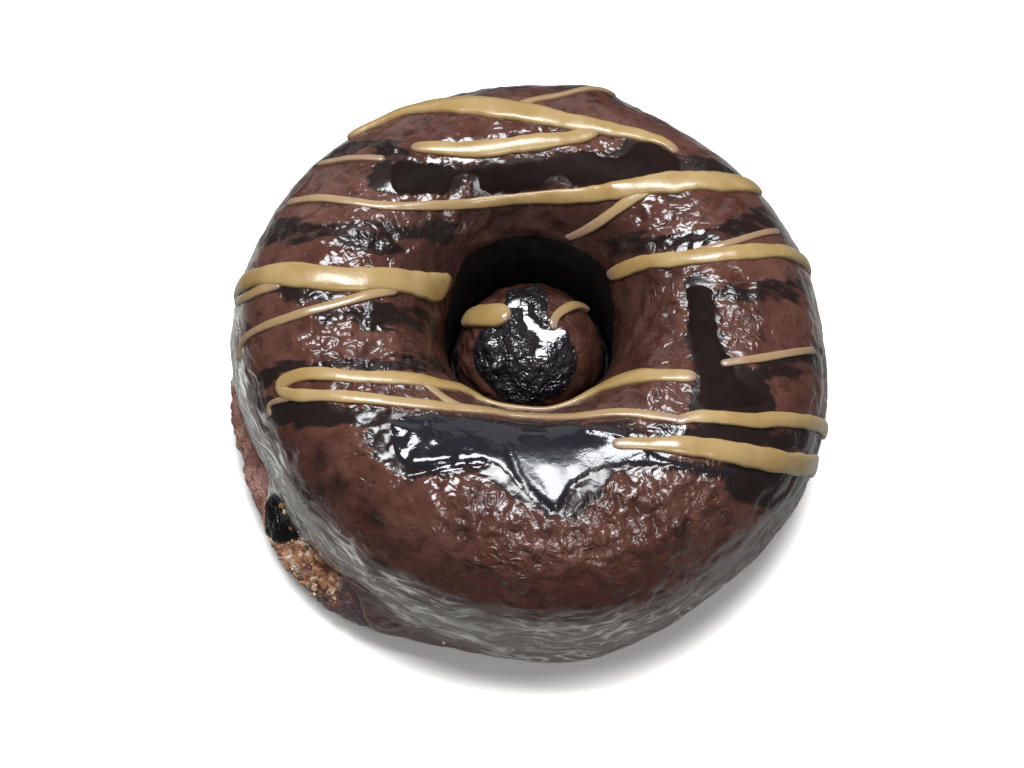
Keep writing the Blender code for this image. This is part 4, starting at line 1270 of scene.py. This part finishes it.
ball = put_piece("ball_glaze", [ball_grid()],
                 make_glaze_material("ball_glaze", BALL_BROWN, GLAZE_DEEP, BALL_PALE))
put_piece("ball_dark_chocolate", [ball_band_grid(stations) for stations in BALL_BANDS.values()],
          make_dark_material("ball_dark_chocolate", BALL_DARK, BALL_DARK_BROWNER, 0.6, 0.1, 0.2, 0.75))
ball_strands = [strand_grid(route, ball_place, ball_skin, ball_swell, 0.15)
                for route in BALL_STRANDS.values()]
ball_drizzle = put_piece("ball_nut_drizzle", ball_strands, nut_drizzle)
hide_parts("centre_ball")
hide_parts("centre_ball")


# The glaze in the gap: what ran down between the ball and the ring set there as a collar, painted
# nearly black as the shade in the gap, so the two hold together and nothing shows through beside the ball.
COLLAR_HEIGHT = 10.5
COLLAR_HALF_DEPTH = 2.2
COLLAR_OVERLAP = 0.6
COLLAR_TURNS = 240
COLLAR_SIDES = 20
COLLAR_LAYER = (0.5, 3, 71)


def collar_grid():
    """Return the collar as a grid: an ellipse carried round the gap, reaching into the ball and the ring."""
    angle = np.linspace(0, 2 * np.pi, COLLAR_TURNS, endpoint=False)[:, None]
    down = np.arccos((COLLAR_HEIGHT - BALL_MIDDLE[2]) / BALL_HALF_HEIGHT) + 0 * angle
    inside = ball_skin(angle, down, -COLLAR_OVERLAP)
    outside = ring_skin(angle, np.pi + section_angle_at(COLLAR_HEIGHT, ROUNDNESS_FOOT), -COLLAR_OVERLAP)
    around = np.linspace(0, 2 * np.pi, COLLAR_SIDES, endpoint=False)
    share = 0.5 + 0.5 * np.cos(around)[:, None]
    points = inside + (outside - inside) * share
    wavy = noise_layers(points, COLLAR_LAYER)
    points[..., 2] = COLLAR_HEIGHT + COLLAR_HALF_DEPTH * np.sin(around) + wavy
    # Painted shade: the whole collar is nearly black.
    return points, True, {"dark": np.ones(points.shape[:2]), "dry": np.ones(points.shape[:2]),
                          "lively": 0.4 + 0.4 * wavy}


shaded_collar_material = make_glaze_material("shaded_gap_collar", GLAZE_DEEP, NEARLY_BLACK, BALL_BROWN, specular=0.05)
put_piece("shaded_gap_collar", [collar_grid()], shaded_collar_material)


# Plain studio: a pale floor that looks dark far off in reflections, a softbox nearly overhead
# that puts the highlights on the crest, a small weak one in front, a wide low one behind
# that lights the outer wall, and a dim surround.
FLOOR_PALE = (0.82, 0.82, 0.80)
FLOOR_GLOW = (0.0455, 0.0525, 0.0, 1.0)
FLOOR_NEAR = (0.36, 0.36, 0.345)
FLOOR_FAR = (0.08, 0.08, 0.08)
FLOOR_NEAR_EDGE = (0.065, 0.105)

# Each softbox: place, size, watts, colour
SOFTBOXES = {"overhead_softbox": ((-0.03, 0.14, 0.68), (0.38, 0.22), 6.8, (0.95, 0.97, 1.0)),
             "front_softbox": ((0.13, -0.31, 0.60), (0.22, 0.11), 1.35, (1.0, 0.96, 0.955)),
             "back_softbox": ((-0.15, 0.85, 0.30), (1.3, 0.5), 1.3, (1.0, 0.97, 0.98))}
SURROUND = (0.90, 0.95, 1.0)
SURROUND_STRENGTH = 0.13
FLOOR_HALF = 3.0
FLOOR_ROUGHNESS = 0.8
FLOOR_SPECULAR = 0.0

floor_mesh = bpy.data.meshes.new("floor")
floor_mesh.from_pydata([(-FLOOR_HALF, -FLOOR_HALF, 0), (FLOOR_HALF, -FLOOR_HALF, 0),
                        (FLOOR_HALF, FLOOR_HALF, 0), (-FLOOR_HALF, FLOOR_HALF, 0)], [], [(0, 1, 2, 3)])
floor_material, floor_tree, floor_shader = new_material("floor_pale", specular=FLOOR_SPECULAR)
floor_shader.inputs["Roughness"].default_value = FLOOR_ROUGHNESS
seen = floor_tree.nodes.new("ShaderNodeLightPath").outputs["Is Camera Ray"]
from_middle = floor_tree.nodes.new("ShaderNodeVectorMath")
from_middle.operation = "LENGTH"
floor_tree.links.new(object_place(floor_tree), from_middle.inputs[0])
far_off = range_node(floor_tree, from_middle.outputs["Value"], *FLOOR_NEAR_EDGE, 0.0, 1.0)
reflected = mix_node(floor_tree, far_off, FLOOR_NEAR, FLOOR_FAR)
floor_tree.links.new(mix_node(floor_tree, seen, reflected, FLOOR_PALE), floor_shader.inputs["Base Color"])
# The floor glows for the camera from a little past the doughnut outwards, which paints out the far part of
# its shadow.
glow = range_node(floor_tree, from_middle.outputs["Value"], *FLOOR_GLOW)
floor_tree.links.new(math_node(floor_tree, "MULTIPLY", seen, glow), floor_shader.inputs["Emission Strength"])
floor_shader.inputs["Emission Color"].default_value = (*FLOOR_PALE, 1)
floor_mesh.materials.append(floor_material)
floor = bpy.data.objects.new("floor", floor_mesh)
bpy.context.scene.collection.objects.link(floor)

for light_name, (place, size, power, colour) in SOFTBOXES.items():
    light = bpy.data.lights.new(light_name, "AREA")
    light.shape = "RECTANGLE"
    light.size, light.size_y = size
    light.energy = power
    light.color = colour
    holder = bpy.data.objects.new(light_name, light)
    holder.location = place
    holder.rotation_euler = (-np.arctan2(place[1], place[2]), np.arctan2(place[0], place[2]), 0)
    bpy.context.scene.collection.objects.link(holder)
world = bpy.data.worlds.new("pale_surround")
world.use_nodes = True
world.node_tree.nodes["Background"].inputs["Color"].default_value = (*SURROUND, 1)
world.node_tree.nodes["Background"].inputs["Strength"].default_value = SURROUND_STRENGTH
bpy.context.scene.world = world
bpy.context.scene.view_settings.view_transform = "Standard"


# The camera looks down at the photo's angle. The small shift puts the doughnut where
# the photo's frame has it.
CAMERA_ELEVATION = 64.0
CAMERA_DISTANCE = 330.0
CAMERA_NEAREST = 0.01
CREST_MIDDLE_PIXEL = (528, 400)
PIXELS_PER_MM = 6.1
FRAME_SIZE = (1024, 768)
SENSOR = 36.0

camera_data = bpy.data.cameras.new("camera")
camera_data.sensor_width = SENSOR
camera_data.lens = PIXELS_PER_MM * CAMERA_DISTANCE * SENSOR / FRAME_SIZE[0]
camera_data.shift_x = (FRAME_SIZE[0] / 2 - CREST_MIDDLE_PIXEL[0]) / FRAME_SIZE[0]
camera_data.shift_y = (CREST_MIDDLE_PIXEL[1] - FRAME_SIZE[1] / 2) / FRAME_SIZE[0]
camera_data.clip_start = CAMERA_NEAREST
camera = bpy.data.objects.new("camera", camera_data)
tilt = np.radians(CAMERA_ELEVATION)
camera.location = (-OUTLINE_MIDDLE[0] * MM, (-OUTLINE_MIDDLE[1] - CAMERA_DISTANCE * np.cos(tilt)) * MM,
                   CAMERA_DISTANCE * np.sin(tilt) * MM)
camera.rotation_euler = (np.pi / 2 - tilt, 0, 0)
bpy.context.scene.collection.objects.link(camera)
bpy.context.scene.camera = camera
